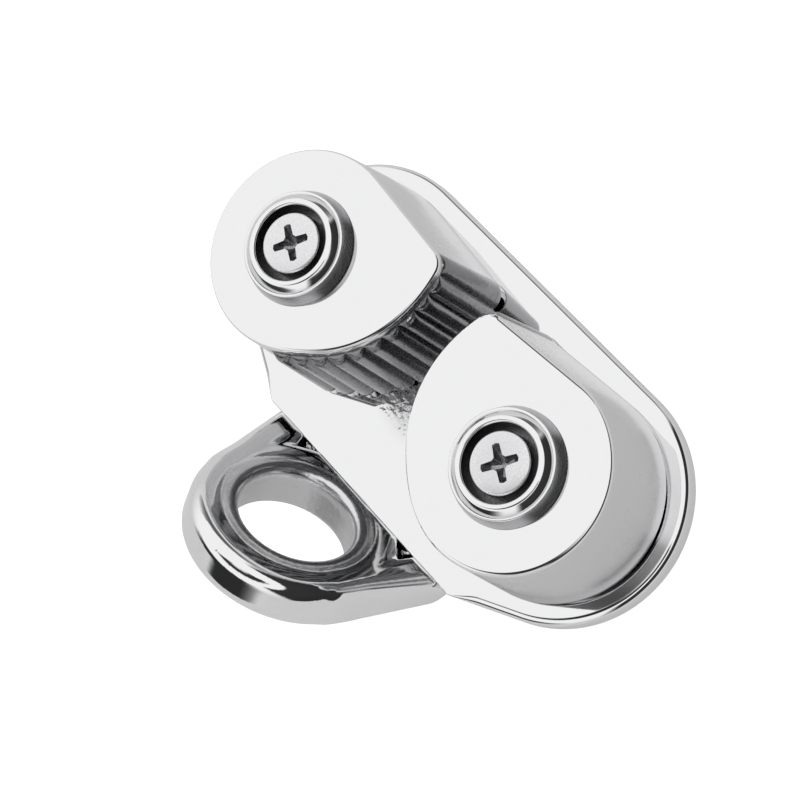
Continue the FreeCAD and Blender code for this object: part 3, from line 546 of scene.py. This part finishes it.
# %% Mesh helpers
def solid_piece(name, verts, faces, finishes, which=None, crease=32):
    """A mesh object from points in millimetres, with its finishes and marked sharp edges."""
    mesh = bpy.data.meshes.new(name)
    mesh.from_pydata([Vector(v) * MM for v in verts], [], faces)
    tidy = bmesh.new()
    tidy.from_mesh(mesh)
    bmesh.ops.recalc_face_normals(tidy, faces=tidy.faces)
    tidy.to_mesh(mesh)
    tidy.free()
    for finish in finishes:
        mesh.materials.append(finish)
    if which is not None:
        mesh.polygons.foreach_set("material_index", which)
    mesh.shade_smooth()
    mesh.set_sharp_from_angle(angle=math.radians(crease))
    made = bpy.data.objects.new(name, mesh)
    bpy.context.scene.collection.objects.link(made)
    print("%-16s %6d faces" % (name, len(mesh.polygons)))
    return made


def stack(rows, close=False):
    """Quads between consecutive rows of points; the rows are closed rings of equal length."""
    count = len(rows[0])
    verts = [point for row in rows for point in row]
    faces = []
    for r in range(len(rows) if close else len(rows) - 1):
        below, above = r * count, (r + 1) % len(rows) * count
        for i in range(count):
            j = (i + 1) % count
            faces.append((below + i, below + j, above + j, above + i))
    return verts, faces


def capped(rows):
    """A stack of rings closed by a flat face at each end."""
    verts, faces = stack(rows)
    count, last = len(rows[0]), (len(rows) - 1) * len(rows[0])
    return verts, faces + [tuple(range(count)), tuple(range(last, last + count))]


# %% Helpers for profiles and for settling a piece
def settle(piece, body, slot, *replaced):
    """Hang a piece on its body's empty and hide the CAD parts that it stands for. The slot is not used."""
    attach(piece, body)
    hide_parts(*replaced)


def arc_points(centre, radius, start, end, steps):
    """Points on an arc in a profile, angles in degrees."""
    return [(centre[0] + radius * math.cos(math.radians(a)), centre[1] + radius * math.sin(math.radians(a)))
            for a in np.linspace(start, end, steps + 1)]


def turned_rows(profile, axis_x, count=120):
    """Rings of points from a (radius, height) profile, about an upright axis."""
    return [[(axis_x + r * math.cos(2 * math.pi * i / count), r * math.sin(2 * math.pi * i / count), z)
             for i in range(count)] for r, z in profile]


pivot_x = {side: round(joint["pos_m"][0] / MM, 4) for side in ("left", "right")
           for joint in frame["record"]["behaviour"]["joints"] if joint["name"].startswith(side)}
cam_low, cam_high = (corner.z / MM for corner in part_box("left_cam"))
print("pivots at x =", pivot_x, "cams from z =", round(cam_low, 2), "to", round(cam_high, 2))

# %% [markdown]
# ## The cams
# A cam is cast steel, then its top and its plain sides are ground and buffed. Seen from
# above its gripping side is a spiral: its radius grows by the same share for each degree
# that it turns, so the cam meets the line at the same angle whatever the line's size.
# The ridges are left as cast. They are round lands with narrow grooves between them, and
# they stop a little below the top in a row of domes.
# One outline, given by points and outward directions, makes every row of the mesh: the
# rows differ only in height, in how far they stand out, and in how full the ridges are.

# %% The gripping spiral
HEEL_R, NOSE_R, SIDE_SLOPE = 12.0, 2.2, math.radians(5.2)
SPIRAL_RATE, SPIRAL_START, SPIRAL_BLEND = 0.301, math.radians(-43.7), math.radians(14)
SPIRAL_FIRST = SPIRAL_START - 3 * SPIRAL_BLEND
RIDGES, RIDGE_PITCH, RIDGE_OUT = 10, 2.45, 0.8
side_way = np.array([math.sin(SIDE_SLOPE), math.cos(SIDE_SLOPE)])


def gripping(angle):
    """Points on the spiral and their outward directions."""
    x = angle - SPIRAL_START
    growth = (x + np.hypot(x, SPIRAL_BLEND)) / 2
    start = (-3 * SPIRAL_BLEND + math.hypot(3 * SPIRAL_BLEND, SPIRAL_BLEND)) / 2
    radius = HEEL_R * np.exp(SPIRAL_RATE * (growth - start))
    lean = SPIRAL_RATE * (1 + x / np.hypot(x, SPIRAL_BLEND)) / 2
    out = np.stack([np.cos(angle), np.sin(angle)], -1)
    along_it = np.stack([-np.sin(angle), np.cos(angle)], -1)
    way = (out - along_it * lean[:, None]) / np.hypot(1, lean)[:, None]
    return out * radius[:, None], way


# %% Where the spiral meets the nose, and the ridges along it
FINE, RIDGE_STEPS, LAND_POWER = 6000, 18, 2.6      # a higher power makes flatter, fuller lands
angles = np.linspace(SPIRAL_FIRST, math.radians(60), FINE)
points, ways = gripping(angles)
nose_end = int(np.argmax((points - ways * NOSE_R) @ side_way > HEEL_R - NOSE_R))
angles = np.linspace(SPIRAL_FIRST, angles[nose_end], FINE)
points, ways = gripping(angles)
nose_centre = points[-1] - ways[-1] * NOSE_R
run = np.concatenate([[0], np.cumsum(np.hypot(*np.diff(points, axis=0).T))])
ridges_from = run[-1] - RIDGES * RIDGE_PITCH
picked = np.concatenate([np.linspace(0, ridges_from, 24, endpoint=False),
                         np.linspace(ridges_from, run[-1], RIDGES * RIDGE_STEPS + 1)])
grip_angles = np.interp(picked, run, angles)
grip_points, grip_ways = gripping(grip_angles)
phase = np.clip((picked - ridges_from) / RIDGE_PITCH, 0, RIDGES)
grip_ridge = np.where(picked > ridges_from, 1 - np.abs(2 * (phase % 1) - 1) ** LAND_POWER, 0)
print("gripping side:", round(float(run[-1]), 2), "mm long, ridges on the last", RIDGES * RIDGE_PITCH, "mm")

# %% The nose, the straight side and the heel
nose_turns = np.linspace(math.atan2(*grip_ways[-1][::-1]), math.pi / 2 - SIDE_SLOPE, 25)[1:]
nose_ways = np.stack([np.cos(nose_turns), np.sin(nose_turns)], -1)
nose_points = nose_centre + nose_ways * NOSE_R
share = np.linspace(0, 1, 40)[1:-1, None]
side_points = nose_points[-1] * (1 - share) + side_way * HEEL_R * share
heel_turns = np.linspace(math.pi / 2 - SIDE_SLOPE, SPIRAL_FIRST + 2 * math.pi, 150)[:-1]
heel_ways = np.stack([np.cos(heel_turns), np.sin(heel_turns)], -1)

cam_points = np.concatenate([grip_points, nose_points, side_points, heel_ways * HEEL_R])
cam_ways = np.concatenate([grip_ways, nose_ways, np.tile(side_way, (len(side_points), 1)), heel_ways])
nose_run = np.linspace(0, 1, 25)[1:] * NOSE_R * abs(nose_turns[-1] - nose_turns[0]) / RIDGE_PITCH
nose_ridge = 0.6 * np.clip(1 - np.abs(2 * nose_run - 1) ** 2.2, 0, 1)
cam_ridge = np.concatenate([grip_ridge, nose_ridge, np.zeros(len(side_points) + len(heel_ways))])
heel_share = np.concatenate([np.zeros(len(cam_points) - len(heel_turns)),
                             np.linspace(0, 1, len(heel_turns))])
on_heel = heel_share > 0
bevelled = np.clip(1 - 9 * heel_share, 0, 1)      # the ground bevel stops early on the heel
bevelled[:len(grip_points)] = 0
print("cam outline:", len(cam_points), "points, nose", round(float(np.hypot(*nose_points[7])), 2), "mm out")

# %% Rows of the cam's side, from the skirt up to the flat top
SKIRT_Z, DRAFT, SKIRT_ROUND, EDGE = cam_low - 1.2, 0.85, 0.08, 0.4
PLAIN_BAND, DOME_H = 1.0, 1.2
HEEL_DROP = 1.0       # how much lower the ridges' tops are at the heel end than at the nose
WALL_FROM, BAND_LAP = SKIRT_Z + 0.6, 0.06
ridge_share = np.clip((picked - ridges_from) / (RIDGES * RIDGE_PITCH), 0, 1)
cam_drop = HEEL_DROP * np.concatenate([
    (1 - ridge_share) ** 1.5, np.zeros(len(nose_points) + len(side_points)),
    np.linspace(0, 1, len(heel_turns)) ** 4])


def cam_ring(z, out, ridge=0.0, inset=0.0):
    """The outline at one height, standing `out`, with ridges of one fullness.

    `inset` cuts back the straight side, and less and less of the heel beside it. Points
    that would stand past the line of the straight side are pulled back to it.
    """
    stand = out + ridge * RIDGE_OUT * cam_ridge - inset * np.where(on_heel, bevelled, 0)
    ring = cam_points + cam_ways * stand[:, None]
    over = np.clip(ring @ side_way - (HEEL_R + out - inset), 0, None) * ~on_heel
    over[cam_ridge > 0] *= inset > 0
    ring = ring - side_way * over[:, None]
    return np.column_stack([ring, z + np.zeros(len(ring))])


def inner_ring(radius, z):
    """A circle about the pivot, with one point for each point of the outline."""
    turn = np.arctan2(cam_points[:, 1], cam_points[:, 0])
    return np.column_stack([radius * np.cos(turn), radius * np.sin(turn), np.full(len(turn), z)])


def cam_rows(bevel, inset):
    """Every ring of the closed cam, and how much of each ring's side is left as cast."""
    def out_at(z):
        return DRAFT * (cam_high - z) / (cam_high - SKIRT_Z)

    rows, cast = [], []

    def row(ring, left=False):
        rows.append(ring)
        cast.append(left)

    for step in range(4):
        a = math.radians(30 * step)
        row(cam_ring(SKIRT_Z + SKIRT_ROUND * (1 - math.sin(a)),
                     out_at(SKIRT_Z) - SKIRT_ROUND * (1 - math.cos(a)), 1), True)
    rows.reverse()
    dome_z = cam_high - PLAIN_BAND - DOME_H - cam_drop
    for climb in np.linspace(0, 1, 12):
        z = WALL_FROM * (1 - climb) + dome_z * climb
        row(cam_ring(z, out_at(z), 1), True)
    for a in np.radians(np.linspace(12, 90, 9)):
        z = dome_z + DOME_H * math.sin(a)
        row(cam_ring(z, out_at(z), math.cos(a) ** 1.2), True)
    band_z = cam_high - EDGE - (bevel - EDGE) * bevelled
    for climb in np.linspace(0, 1, 4):
        z = (cam_high - PLAIN_BAND + BAND_LAP) * (1 - climb) + band_z * climb
        row(cam_ring(z, out_at(z)))
    for a in np.radians([30, 60, 90]):
        z = cam_high - (cam_high - band_z) * (1 - math.sin(a))
        row(cam_ring(z, -EDGE * (1 - math.cos(a)), 0, (inset - EDGE) * (1 - math.cos(a)) if inset else 0.0))
    return rows, cast


# %% Cutting one solid out of another
def cut(piece, tool):
    """Take one solid out of another with a boolean, and drop the tool."""
    modifier = piece.modifiers.new("cut", "BOOLEAN")
    modifier.object, modifier.solver, modifier.material_mode = tool, "EXACT", "TRANSFER"
    done = bpy.data.meshes.new_from_object(piece.evaluated_get(bpy.context.evaluated_depsgraph_get()))
    piece.modifiers.clear()
    assert len(done.polygons) > len(piece.data.polygons) * 0.8, piece.name + " was lost in a cut"
    piece.data = done
    bpy.data.objects.remove(tool)


def settle_shading(piece, crease=32):
    piece.data.shade_smooth()
    piece.data.set_sharp_from_angle(angle=math.radians(crease))


# %% [markdown]
# ## Inside a cam
# A cam has a counterbore for the collar, the pivot's bore, a ring-shaped well for the
# spring, and a curved slot that a peg on the plate runs in. All could be cut with
# booleans. The round ones are more rows of the same stack, because that leaves a cleaner
# shell. Only the slot isn't round about the pivot, so it is cut.

# %% The hollows, and the tool that cuts the stop slot
WELL_IN, WELL_OUT, WELL_TOP = 7.3, 9.8, cam_low + 7.0
BORE_R, COUNTER_R, COUNTER_Z = 6.4, 6.6, cam_high - 0.8
SLOT_R, SLOT_HALF, SLOT_TOP = 11.6, 1.15, cam_low + 2.4


def slot_end(turn, sign):
    """The round end of the slot at one angle: 1 is its far end, -1 its near one."""
    mid = np.array([math.cos(turn), math.sin(turn)])
    ahead = np.array([-mid[1], mid[0]]) * sign
    return [mid * (SLOT_R + sign * SLOT_HALF * math.cos(e)) + ahead * SLOT_HALF * math.sin(e)
            for e in np.radians(np.linspace(0, 180, 9))[1:-1]]


def stop_slot(hand, axis_x):
    """The curved tunnel in the underside that the plate's peg runs in."""
    turns = np.radians(np.linspace(-2, 48, 24))
    outer, inner = [[np.array([math.cos(t), math.sin(t)]) * radius for t in turns]
                    for radius in (SLOT_R + SLOT_HALF, SLOT_R - SLOT_HALF)]
    flat = outer + slot_end(turns[-1], 1) + inner[::-1] + slot_end(turns[0], -1)
    return capped([[(axis_x + hand * x, y, z) for x, y in flat] for z in (SKIRT_Z - 1, SLOT_TOP)])


# %% Build both cams
def build_cam(side, hand, bevel, inset):
    axis_x = pivot_x[side]
    rows, cast = cam_rows(bevel, inset)
    rim = rows[-1]
    way_in = rim[:, :2] / np.linalg.norm(rim[:, :2], axis=1)[:, None]
    rows += [np.column_stack([rim[:, :2] - way_in * back, rim[:, 2]]) for back in (0.12, 0.4)]
    cast += [False] * 2
    hollows = [inner_ring(radius, z) for radius, z in (
        (COUNTER_R + 0.35, cam_high), (COUNTER_R + 0.05, cam_high), (COUNTER_R, cam_high - 0.06),
        (COUNTER_R, COUNTER_Z), (BORE_R, COUNTER_Z), (BORE_R, cam_low), (WELL_IN, cam_low),
        (WELL_IN, WELL_TOP), (WELL_OUT, WELL_TOP), (WELL_OUT, SKIRT_Z))]
    rows += hollows
    cast += [False] * len(hollows)
    placed_rows = [[(axis_x + hand * x, y, z) for x, y, z in ring] for ring in rows]
    verts, faces = stack(placed_rows, close=True)
    rough = cam_ridge > 0
    rough |= np.roll(rough, 1) | np.roll(rough, -1)
    walls = sum(cast) + 3
    which = [1 if cast[r] and rough[i] else 2 if r < walls else 0
             for r in range(len(rows)) for i in range(len(cam_points))]
    cam = solid_piece(side + "_cam_casting", verts, faces, [mirror_steel, ridge_steel, side_steel], which)
    tool = solid_piece("slot_tool", *stop_slot(hand, axis_x), [mirror_steel])
    cut(cam, tool)
    settle_shading(cam, 28)
    settle(cam, side + "_jaw", "cast_cam", side + "_cam")


BEVEL_HIGH, BEVEL_WIDE = 0.8, 1.05      # only the right cam has a bevel ground on its side
build_cam("left", 1, EDGE, 0.0)
build_cam("right", -1, BEVEL_HIGH, BEVEL_WIDE)

# %% [markdown]
# ## The plate
# The plate is part of the base casting. Its rim is rounded over and buffed, apart from
# the straight front edge, which stands over the root of the ring and stays crisp. A bevel
# modifier would round every edge alike, so the rim is made of rows that step inward by
# each point's own amount.

# %% The plate's outline and rounded rim
PLATE_T, END_R, FRONT, FRONT_HALF = 2.5, 15.2, 17.8, 17.2
RIM_ROUND, FRONT_ROUND = 0.95, 0.18
RIM_DEPTH = 0.9       # depth of the rounded rim as a share of its width
PIVOT = pivot_x["right"]
reach = math.hypot(PIVOT - FRONT_HALF, FRONT)
swing = math.atan2(-FRONT, FRONT_HALF - PIVOT) + math.acos(END_R / reach)
end_turns = np.linspace(swing, math.pi / 2, 72)
right_end = np.stack([PIVOT + END_R * np.cos(end_turns), END_R * np.sin(end_turns)], -1)
end_ways = np.stack([np.cos(end_turns), np.sin(end_turns)], -1)
side_steps = np.linspace(0, 1, 14)[1:-1, None]
corner = np.array([FRONT_HALF, -FRONT])
side_run = corner * (1 - side_steps) + right_end[0] * side_steps
half_points = np.concatenate([[[0, -FRONT]], [[6, -FRONT], [12, -FRONT], [16.6, -FRONT], corner], side_run,
                              right_end, [[9, END_R], [0, END_R]]])
side_normal = end_ways[0]
corner_way = np.array([0.62, -0.6])
half_ways = np.concatenate([np.tile([0, -1.0], (4, 1)), [corner_way],
                            np.tile(side_normal, (len(side_run), 1)), end_ways, [[0, 1.0], [0, 1.0]]])
fade = np.linspace(0, 1, len(side_run))
side_round = FRONT_ROUND + (RIM_ROUND - FRONT_ROUND) * np.minimum(1, fade * 3)
half_round = np.concatenate([[FRONT_ROUND] * 5, side_round, [RIM_ROUND] * (len(right_end) + 2)])
flip = np.array([-1, 1])
plate_points = np.concatenate([half_points, half_points[-2:0:-1] * flip])
plate_ways = np.concatenate([half_ways, half_ways[-2:0:-1] * flip])
plate_round = np.concatenate([half_round, half_round[-2:0:-1]])


def plate_ring(z, turn=None):
    """The plate's outline at one height, or part way round its rim."""
    if turn is None:
        return np.column_stack([plate_points, np.full(len(plate_round), z)])
    back = plate_round * (1 - math.cos(turn))
    height = PLATE_T - RIM_DEPTH * plate_round * (1 - math.sin(turn))
    return np.column_stack([plate_points - plate_ways * back[:, None], height])


plate_rows = [plate_ring(0), plate_ring(0.8)]
plate_rows += [plate_ring(0, turn) for turn in np.radians(np.linspace(0, 90, 15))]
plate = solid_piece("plate_casting", *capped(plate_rows), [plate_steel], crease=30)

# %% Seats, screw holes and stop pegs
SEAT_R, SEAT_TOP = 7.0, 3.7
PEG_R, PEG_TOP, PEG_TURN = 0.95, 6.3, math.radians(48)
ROOT_Z = PLATE_T - 0.3       # seats and pegs start a little inside the plate
SCREW_HOLE_R, SOCKET_R, SOCKET_FLOOR = 2.15, 5.6, 2.9


def turned_piece(name, profile, axis_x, finishes, which=None, count=120, crease=30):
    """A profile turned about an upright axis into a closed ring or, from the axis, a solid."""
    rows = turned_rows(profile, axis_x, count)
    return solid_piece(name, *stack(rows, close=True), finishes, which, crease)


def drum(name, centre, radius, low, high, count=96):
    """A plain cylinder."""
    rows = [[(centre[0] + radius * math.cos(2 * math.pi * i / count),
              centre[1] + radius * math.sin(2 * math.pi * i / count), z) for i in range(count)]
            for z in (low, high)]
    return solid_piece(name, *capped(rows), [plate_steel])


base_parts = []
for side, hand in (("left", -1), ("right", 1)):
    cut(plate, drum("hole_tool", (pivot_x[side], 0), SOCKET_R - 0.02, -1, 4))
    base_parts.append(turned_piece(side + "_seat", [
        (SCREW_HOLE_R, 0), (SEAT_R - 0.6, 0), (SEAT_R - 0.6, ROOT_Z), (SEAT_R, ROOT_Z),
        (SEAT_R, SEAT_TOP - 0.2), (SEAT_R - 0.06, SEAT_TOP - 0.06), (SEAT_R - 0.2, SEAT_TOP),
        (SOCKET_R, SEAT_TOP), (SOCKET_R, SOCKET_FLOOR), (SCREW_HOLE_R, SOCKET_FLOOR)],
        pivot_x[side], [plate_steel]))
    spot = (pivot_x[side] - hand * SLOT_R * math.cos(PEG_TURN), SLOT_R * math.sin(PEG_TURN))
    base_parts.append(drum(side + "_peg", spot, PEG_R, ROOT_Z, PEG_TOP, 32))

# %% [markdown]
# ## The leading ring
# The ring is a soft, hand-finished shape, so it isn't drawn with flat faces and rounds.
# It is the surface where a formula is zero: tubes that flow into each other where they
# come close. A broad band runs up from one front corner of the plate, round the ring and
# down to the other corner. Inside it a rougher bead runs round the hole, and a thin web
# fills the root. The formula is sampled on a grid, a quad is made wherever it changes
# sign, and every point is then moved onto the surface itself.

# %% The ring's own frame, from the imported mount
mount = next(m for m in frame["record"]["mounts"] if m["name"] == "leading_ring")
ring_centre = np.array(mount["pos_m"]) / MM
ring_axis = np.array(mount["axis"])
ring_up = np.array([0, ring_axis[2], -ring_axis[1]])
BAND_R, BAND_WIDE, RING_HALF, BAND_ROUND = 10.55, 2.25, 3.1, 1.9
RIB_FOOT, RIB_HEAD, RIB_FOOT_WIDE = (14.3, -15.5), (10.29, 2.32), 3.0
BEAD_R, BEAD_BACK, BEAD_THICK = 8.35, 2.0, 1.15
BORE_R_MIDDLE, BORE_WIDE, BORE_HALF, BORE_ROUND = 8.75, 0.8, 2.1, 0.7
WEB_MIDDLE, WEB_HALF, WEB_INNER, WEB_OUTER = 0.4, 1.9, 8.9, 11.2
LEAF_TOP, LEAF_FOOT, LEAF_THIN, LEAF_THICK = (9.2, -4.4, -1.5), (13.6, -11.5, -1.2), 0.7, 1.1


def flow(a, b, k):
    """The lower of two distances, with a smooth join `k` wide."""
    h = np.clip(0.5 + 0.5 * (b - a) / k, 0, 1)
    return b + (a - b) * h - k * h * (1 - h)


def tapered_tube(p, a, b, ra, rb):
    """Distance to a tube from a to b whose radius goes from ra to rb."""
    a, b = np.array(a, float), np.array(b, float)
    t = np.clip(((p - a) @ (b - a)) / ((b - a) @ (b - a)), 0, 1)
    return np.linalg.norm(p - a - t[..., None] * (b - a), axis=-1) - (ra + (rb - ra) * t)


def ring_local(p):
    """Across, up and through the ring, from its centre."""
    rel = p - ring_centre
    return rel[..., 0], rel @ ring_up, rel @ ring_axis


# %% The ring's formula
def tube_lateral(u, v, a, b, ra, rb):
    """Distance in the ring's plane to a strip from a to b whose half width changes."""
    flat = np.stack([u, v, np.zeros_like(u)], -1)
    return tapered_tube(flat, (*a, 0), (*b, 0), ra, rb)


def rounded_slab(lateral, w, half, rounding):
    """A flat shape of some thickness with rounded edges, from its outline's distance."""
    side, depth = lateral + rounding, np.abs(w) - half + rounding
    outside = np.hypot(np.maximum(side, 0), np.maximum(depth, 0))
    return outside + np.minimum(np.maximum(side, depth), 0) - rounding


def ring_field(p):
    """The whole ring's distance: band and ribs, bead and bore, web and leaf ridges."""
    u, v, w = ring_local(p)
    wide, rho = np.abs(u), np.hypot(u, v)
    band = np.abs(rho - BAND_R) - BAND_WIDE
    rib = tube_lateral(wide, v, RIB_FOOT, RIB_HEAD, RIB_FOOT_WIDE, BAND_WIDE)
    thinner = 0.9 * np.clip(-v / 12, 0, 1)
    band = rounded_slab(flow(band, rib, 0.8), w + thinner, RING_HALF - thinner, BAND_ROUND)
    bead = np.hypot(rho - BEAD_R, w + BEAD_BACK) - BEAD_THICK
    wall = np.hypot(np.clip(np.abs(rho - BORE_R_MIDDLE) - BORE_WIDE, 0, None),
                    np.clip(np.abs(w) - BORE_HALF, 0, None)) - BORE_ROUND
    inner = flow(bead, wall, 0.6)
    ripple = 0.10 * np.sin(2.1 * u + 1.3 * np.sin(1.7 * v)) * np.sin(2.6 * v + 0.8)
    edge = np.maximum(np.maximum(v + 1.0, WEB_INNER - rho), wide + 0.22 * v - WEB_OUTER)
    web = np.maximum(np.abs(w - WEB_MIDDLE) - WEB_HALF + ripple, edge)
    leaf = tapered_tube(np.stack([wide, v, w], -1), LEAF_TOP, LEAF_FOOT, LEAF_THIN, LEAF_THICK)
    shape = flow(flow(band, inner, 0.4), flow(web, leaf, 0.8), 1.0)
    under_plate = np.minimum(p[..., 1] + FRONT - 0.05, p[..., 2] - PLATE_T + 0.3)
    ends = np.maximum(under_plate, p[..., 1] + FRONT - 0.5)
    return -flow(-np.maximum(shape, ends), p[..., 2], 0.5)


# %% Mesh a formula
PROBE, LEAST_SLOPE = 0.02, 0.2       # how far the slope is measured, and its floor where it fades


def meshed(field, low, high, step):
    """Quads where a formula changes sign on a grid, with their points moved onto the surface."""
    axes = [np.arange(a, b, step) for a, b in zip(low, high)]
    grid = np.stack(np.meshgrid(*axes, indexing="ij"), -1)
    inside = field(grid) < 0
    cells = [n - 1 for n in inside.shape]
    count = sum(inside[i:i + cells[0], j:j + cells[1], k:k + cells[2]].astype(int)
                for i in (0, 1) for j in (0, 1) for k in (0, 1))
    active = (count > 0) & (count < 8)
    index = np.full(active.shape, -1)
    index[active] = np.arange(active.sum())
    verts = np.argwhere(active) * step + np.array(low) + step / 2
    faces = []
    for axis in range(3):
        first, second = [a for a in range(3) if a != axis]
        changed = np.diff(inside.astype(np.int8), axis=axis)
        spots = np.argwhere(changed)
        spots = spots[(spots[:, first] > 0) & (spots[:, second] > 0)]
        spots = spots[(spots[:, first] < cells[first]) & (spots[:, second] < cells[second])]
        quad = []
        for a, b in ((0, 0), (1, 0), (1, 1), (0, 1)):
            at = spots.copy()
            at[:, first] -= a
            at[:, second] -= b
            quad.append(index[tuple(at.T)])
        faces.append(np.stack(quad, -1))
    for _ in range(4):      # Newton's steps onto the surface
        here = field(verts)
        slope = np.stack([(field(verts + d) - field(verts - d)) / (2 * PROBE) for d in np.eye(3) * PROBE], -1)
        size = np.maximum((slope ** 2).sum(-1), LEAST_SLOPE)
        move = slope * (here / size)[:, None]
        verts -= move * np.minimum(1, step / np.maximum(np.linalg.norm(move, axis=-1), 1e-9))[:, None]
    return verts, np.concatenate(faces)


# %% The ring, with the value that leaves its bore unpolished
GRID_LOW, GRID_HIGH, GRID_STEP = (-19.05, -36.03, -0.61), (19.1, -15.0, 23.0), 0.3
ring_verts, ring_faces = meshed(ring_field, GRID_LOW, GRID_HIGH, GRID_STEP)
ring = solid_piece("ring_casting", ring_verts.tolist(), ring_faces.tolist(), [ring_steel], crease=60)
u, v, w = ring_local(ring_verts)
rho = np.hypot(u, v)
bead_part = np.clip((9.4 - rho) / 0.4, 0, 1) * 0.4
bore_part = np.clip((7.9 - rho) / 0.3, 0, 1) * np.clip((w + 2.4) / 0.6, 0, 1)
ring.data.attributes.new("unpolished", "FLOAT", "POINT").data.foreach_set(
    "value", np.maximum(bead_part, bore_part).astype(np.float32))
print("ring size, mm:", np.round(ring_verts.min(0), 2), np.round(ring_verts.max(0), 2))

# %% Join the base's parts into one casting
base_parts += [plate, ring]
with bpy.context.temp_override(active_object=ring, selected_editable_objects=base_parts,
                               selected_objects=base_parts, object=ring):
    bpy.ops.object.join()
ring.name = "base_one_casting"
settle_shading(ring, 30)
settle(ring, "base", "cast_base", "base_casting")

# %% [markdown]
# ## The pivots and the screws
# Each pivot is turned: a sleeve with a collar that holds the cam down. The
# collar has a satin flank that is a little conical, a narrow ledge, and a rim that is
# rounded over and buffed. The screw's flat head sits in the collar's counterbore.
# Its cross is pressed, so the arms narrow towards their tips and the recess towards its
# floor. The thread is one ridge that climbs 0.7 mm a turn. A bump could fake the thread
# and the cross, but both would vanish from the outline, so they are in the mesh.

# %% Pivots
COLLAR_Z = cam_high + 0.1
LEDGE_Z, COLLAR_TOP = COLLAR_Z + 1.85, COLLAR_Z + 2.65
RECESS_R, RECESS_FLOOR = 4.5, COLLAR_Z - 0.15


def build_pivot(side):
    axis_x = pivot_x[side]
    satin = [(SCREW_HOLE_R, SOCKET_FLOOR), (5.3, SOCKET_FLOOR), (5.5, 3.1), (5.5, COLLAR_Z),
             (6.75, COLLAR_Z), (6.85, COLLAR_Z + 0.1), (6.36, LEDGE_Z - 0.12)]
    rim = arc_points((6.22, LEDGE_Z - 0.12), 0.12, 30, 90, 3) + [(6.02, LEDGE_Z)]
    rim += [(6.0, COLLAR_TOP - 0.78), (5.97, COLLAR_TOP - 0.70), (5.80, COLLAR_TOP - 0.50),
            (5.55, COLLAR_TOP - 0.28)]
    rim += arc_points((5.0, COLLAR_TOP - 0.5), 0.5, 52, 90, 6)
    rim += arc_points((RECESS_R + 0.28, COLLAR_TOP - 0.28), 0.28, 90, 180, 6)
    inside = [(RECESS_R, RECESS_FLOOR), (SCREW_HOLE_R, RECESS_FLOOR)]
    profile = satin + rim + inside
    count = 144
    rim_from, recess_from = len(satin), len(satin) + len(rim) - 1
    which = [0 if r < rim_from else 1 if r < recess_from else 2
             for r in range(len(profile)) for _ in range(count)]
    finishes = [turned_steel("turned_" + side, axis_x), buffed_rim("rim_" + side, axis_x), recess_painted_shade]
    pivot = turned_piece(side + "_collar", profile, axis_x, finishes, which, count)
    settle(pivot, "base", "turned_steel", side + "_pivot")


for side in pivot_x:
    build_pivot(side)

# %% The screw's thread and the punch for its cross
HEAD_R, HEAD_TOP, HEAD_ROUND = 3.67, COLLAR_TOP - 0.2, 0.35
SHANK_R, THREAD_ROOT, THREAD_R, THREAD_PITCH = 1.77, 1.55, 2.0, 0.7
SCREW_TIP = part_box("left_screw")[0].z / MM
CROSS_TURN = math.radians(-31)


def thread_rows(axis_x, count=48):
    """Rings of a real screw thread, from the tip up to the underside of the plate."""
    rows = []
    turn = np.arange(count) / count
    for z in np.arange(SCREW_TIP, -0.35, THREAD_PITCH / 8):
        climb = (z / THREAD_PITCH - turn) % 1
        depth = np.clip(1.15 - 2.3 * np.abs(climb - 0.5) * 1.1, 0, 1)
        radius = THREAD_ROOT + (THREAD_R - THREAD_ROOT) * depth
        radius = np.minimum(radius, 1.5 + (z - SCREW_TIP) * 1.0)
        rows.append([(axis_x + r * math.cos(2 * math.pi * t), r * math.sin(2 * math.pi * t), z)
                     for r, t in zip(radius, turn)])
    return rows


def cross_tool(axis_x):
    """The punch that presses the cross: wide in the middle, narrowing outward and down."""
    rows = []
    for z, span, tip, waist in ((HEAD_TOP + 0.3, 2.3, 0.50, 0.92), (HEAD_TOP - 0.05, 2.12, 0.42, 0.80),
                                (HEAD_TOP - 1.1, 1.35, 0.30, 0.55), (HEAD_TOP - 1.5, 0.4, 0.2, 0.25)):
        outline = []
        for quarter in range(4):
            c, s = math.cos(CROSS_TURN + quarter * math.pi / 2), math.sin(CROSS_TURN + quarter * math.pi / 2)
            for a, b in ((span, -tip), (span + 0.12 * span / 2, 0), (span, tip), (waist, waist * 0.62),
                         (waist * 0.8, waist * 0.8), (waist * 0.62, waist)):
                outline.append((axis_x + a * c - b * s, a * s + b * c, z))
        rows.append(outline)
    return capped(rows)


# %% Screws
def build_screw(side):
    axis_x, count = pivot_x[side], 48
    rows = thread_rows(axis_x, count)
    upper = [(SHANK_R, -0.3), (SHANK_R, RECESS_FLOOR), (HEAD_R, RECESS_FLOOR)]
    upper += arc_points((HEAD_R - HEAD_ROUND, HEAD_TOP - HEAD_ROUND), HEAD_ROUND, 0, 90, 6)
    rows += turned_rows(upper, axis_x, count)
    screw = solid_piece(side + "_fixing_screw", *capped(rows), [satin_screw], crease=30)
    cut(screw, solid_piece("cross_tool", *cross_tool(axis_x), [pressed_cross]))
    settle_shading(screw, 30)
    settle(screw, "base", "screw_steel", side + "_screw")


for side in pivot_x:
    build_screw(side)
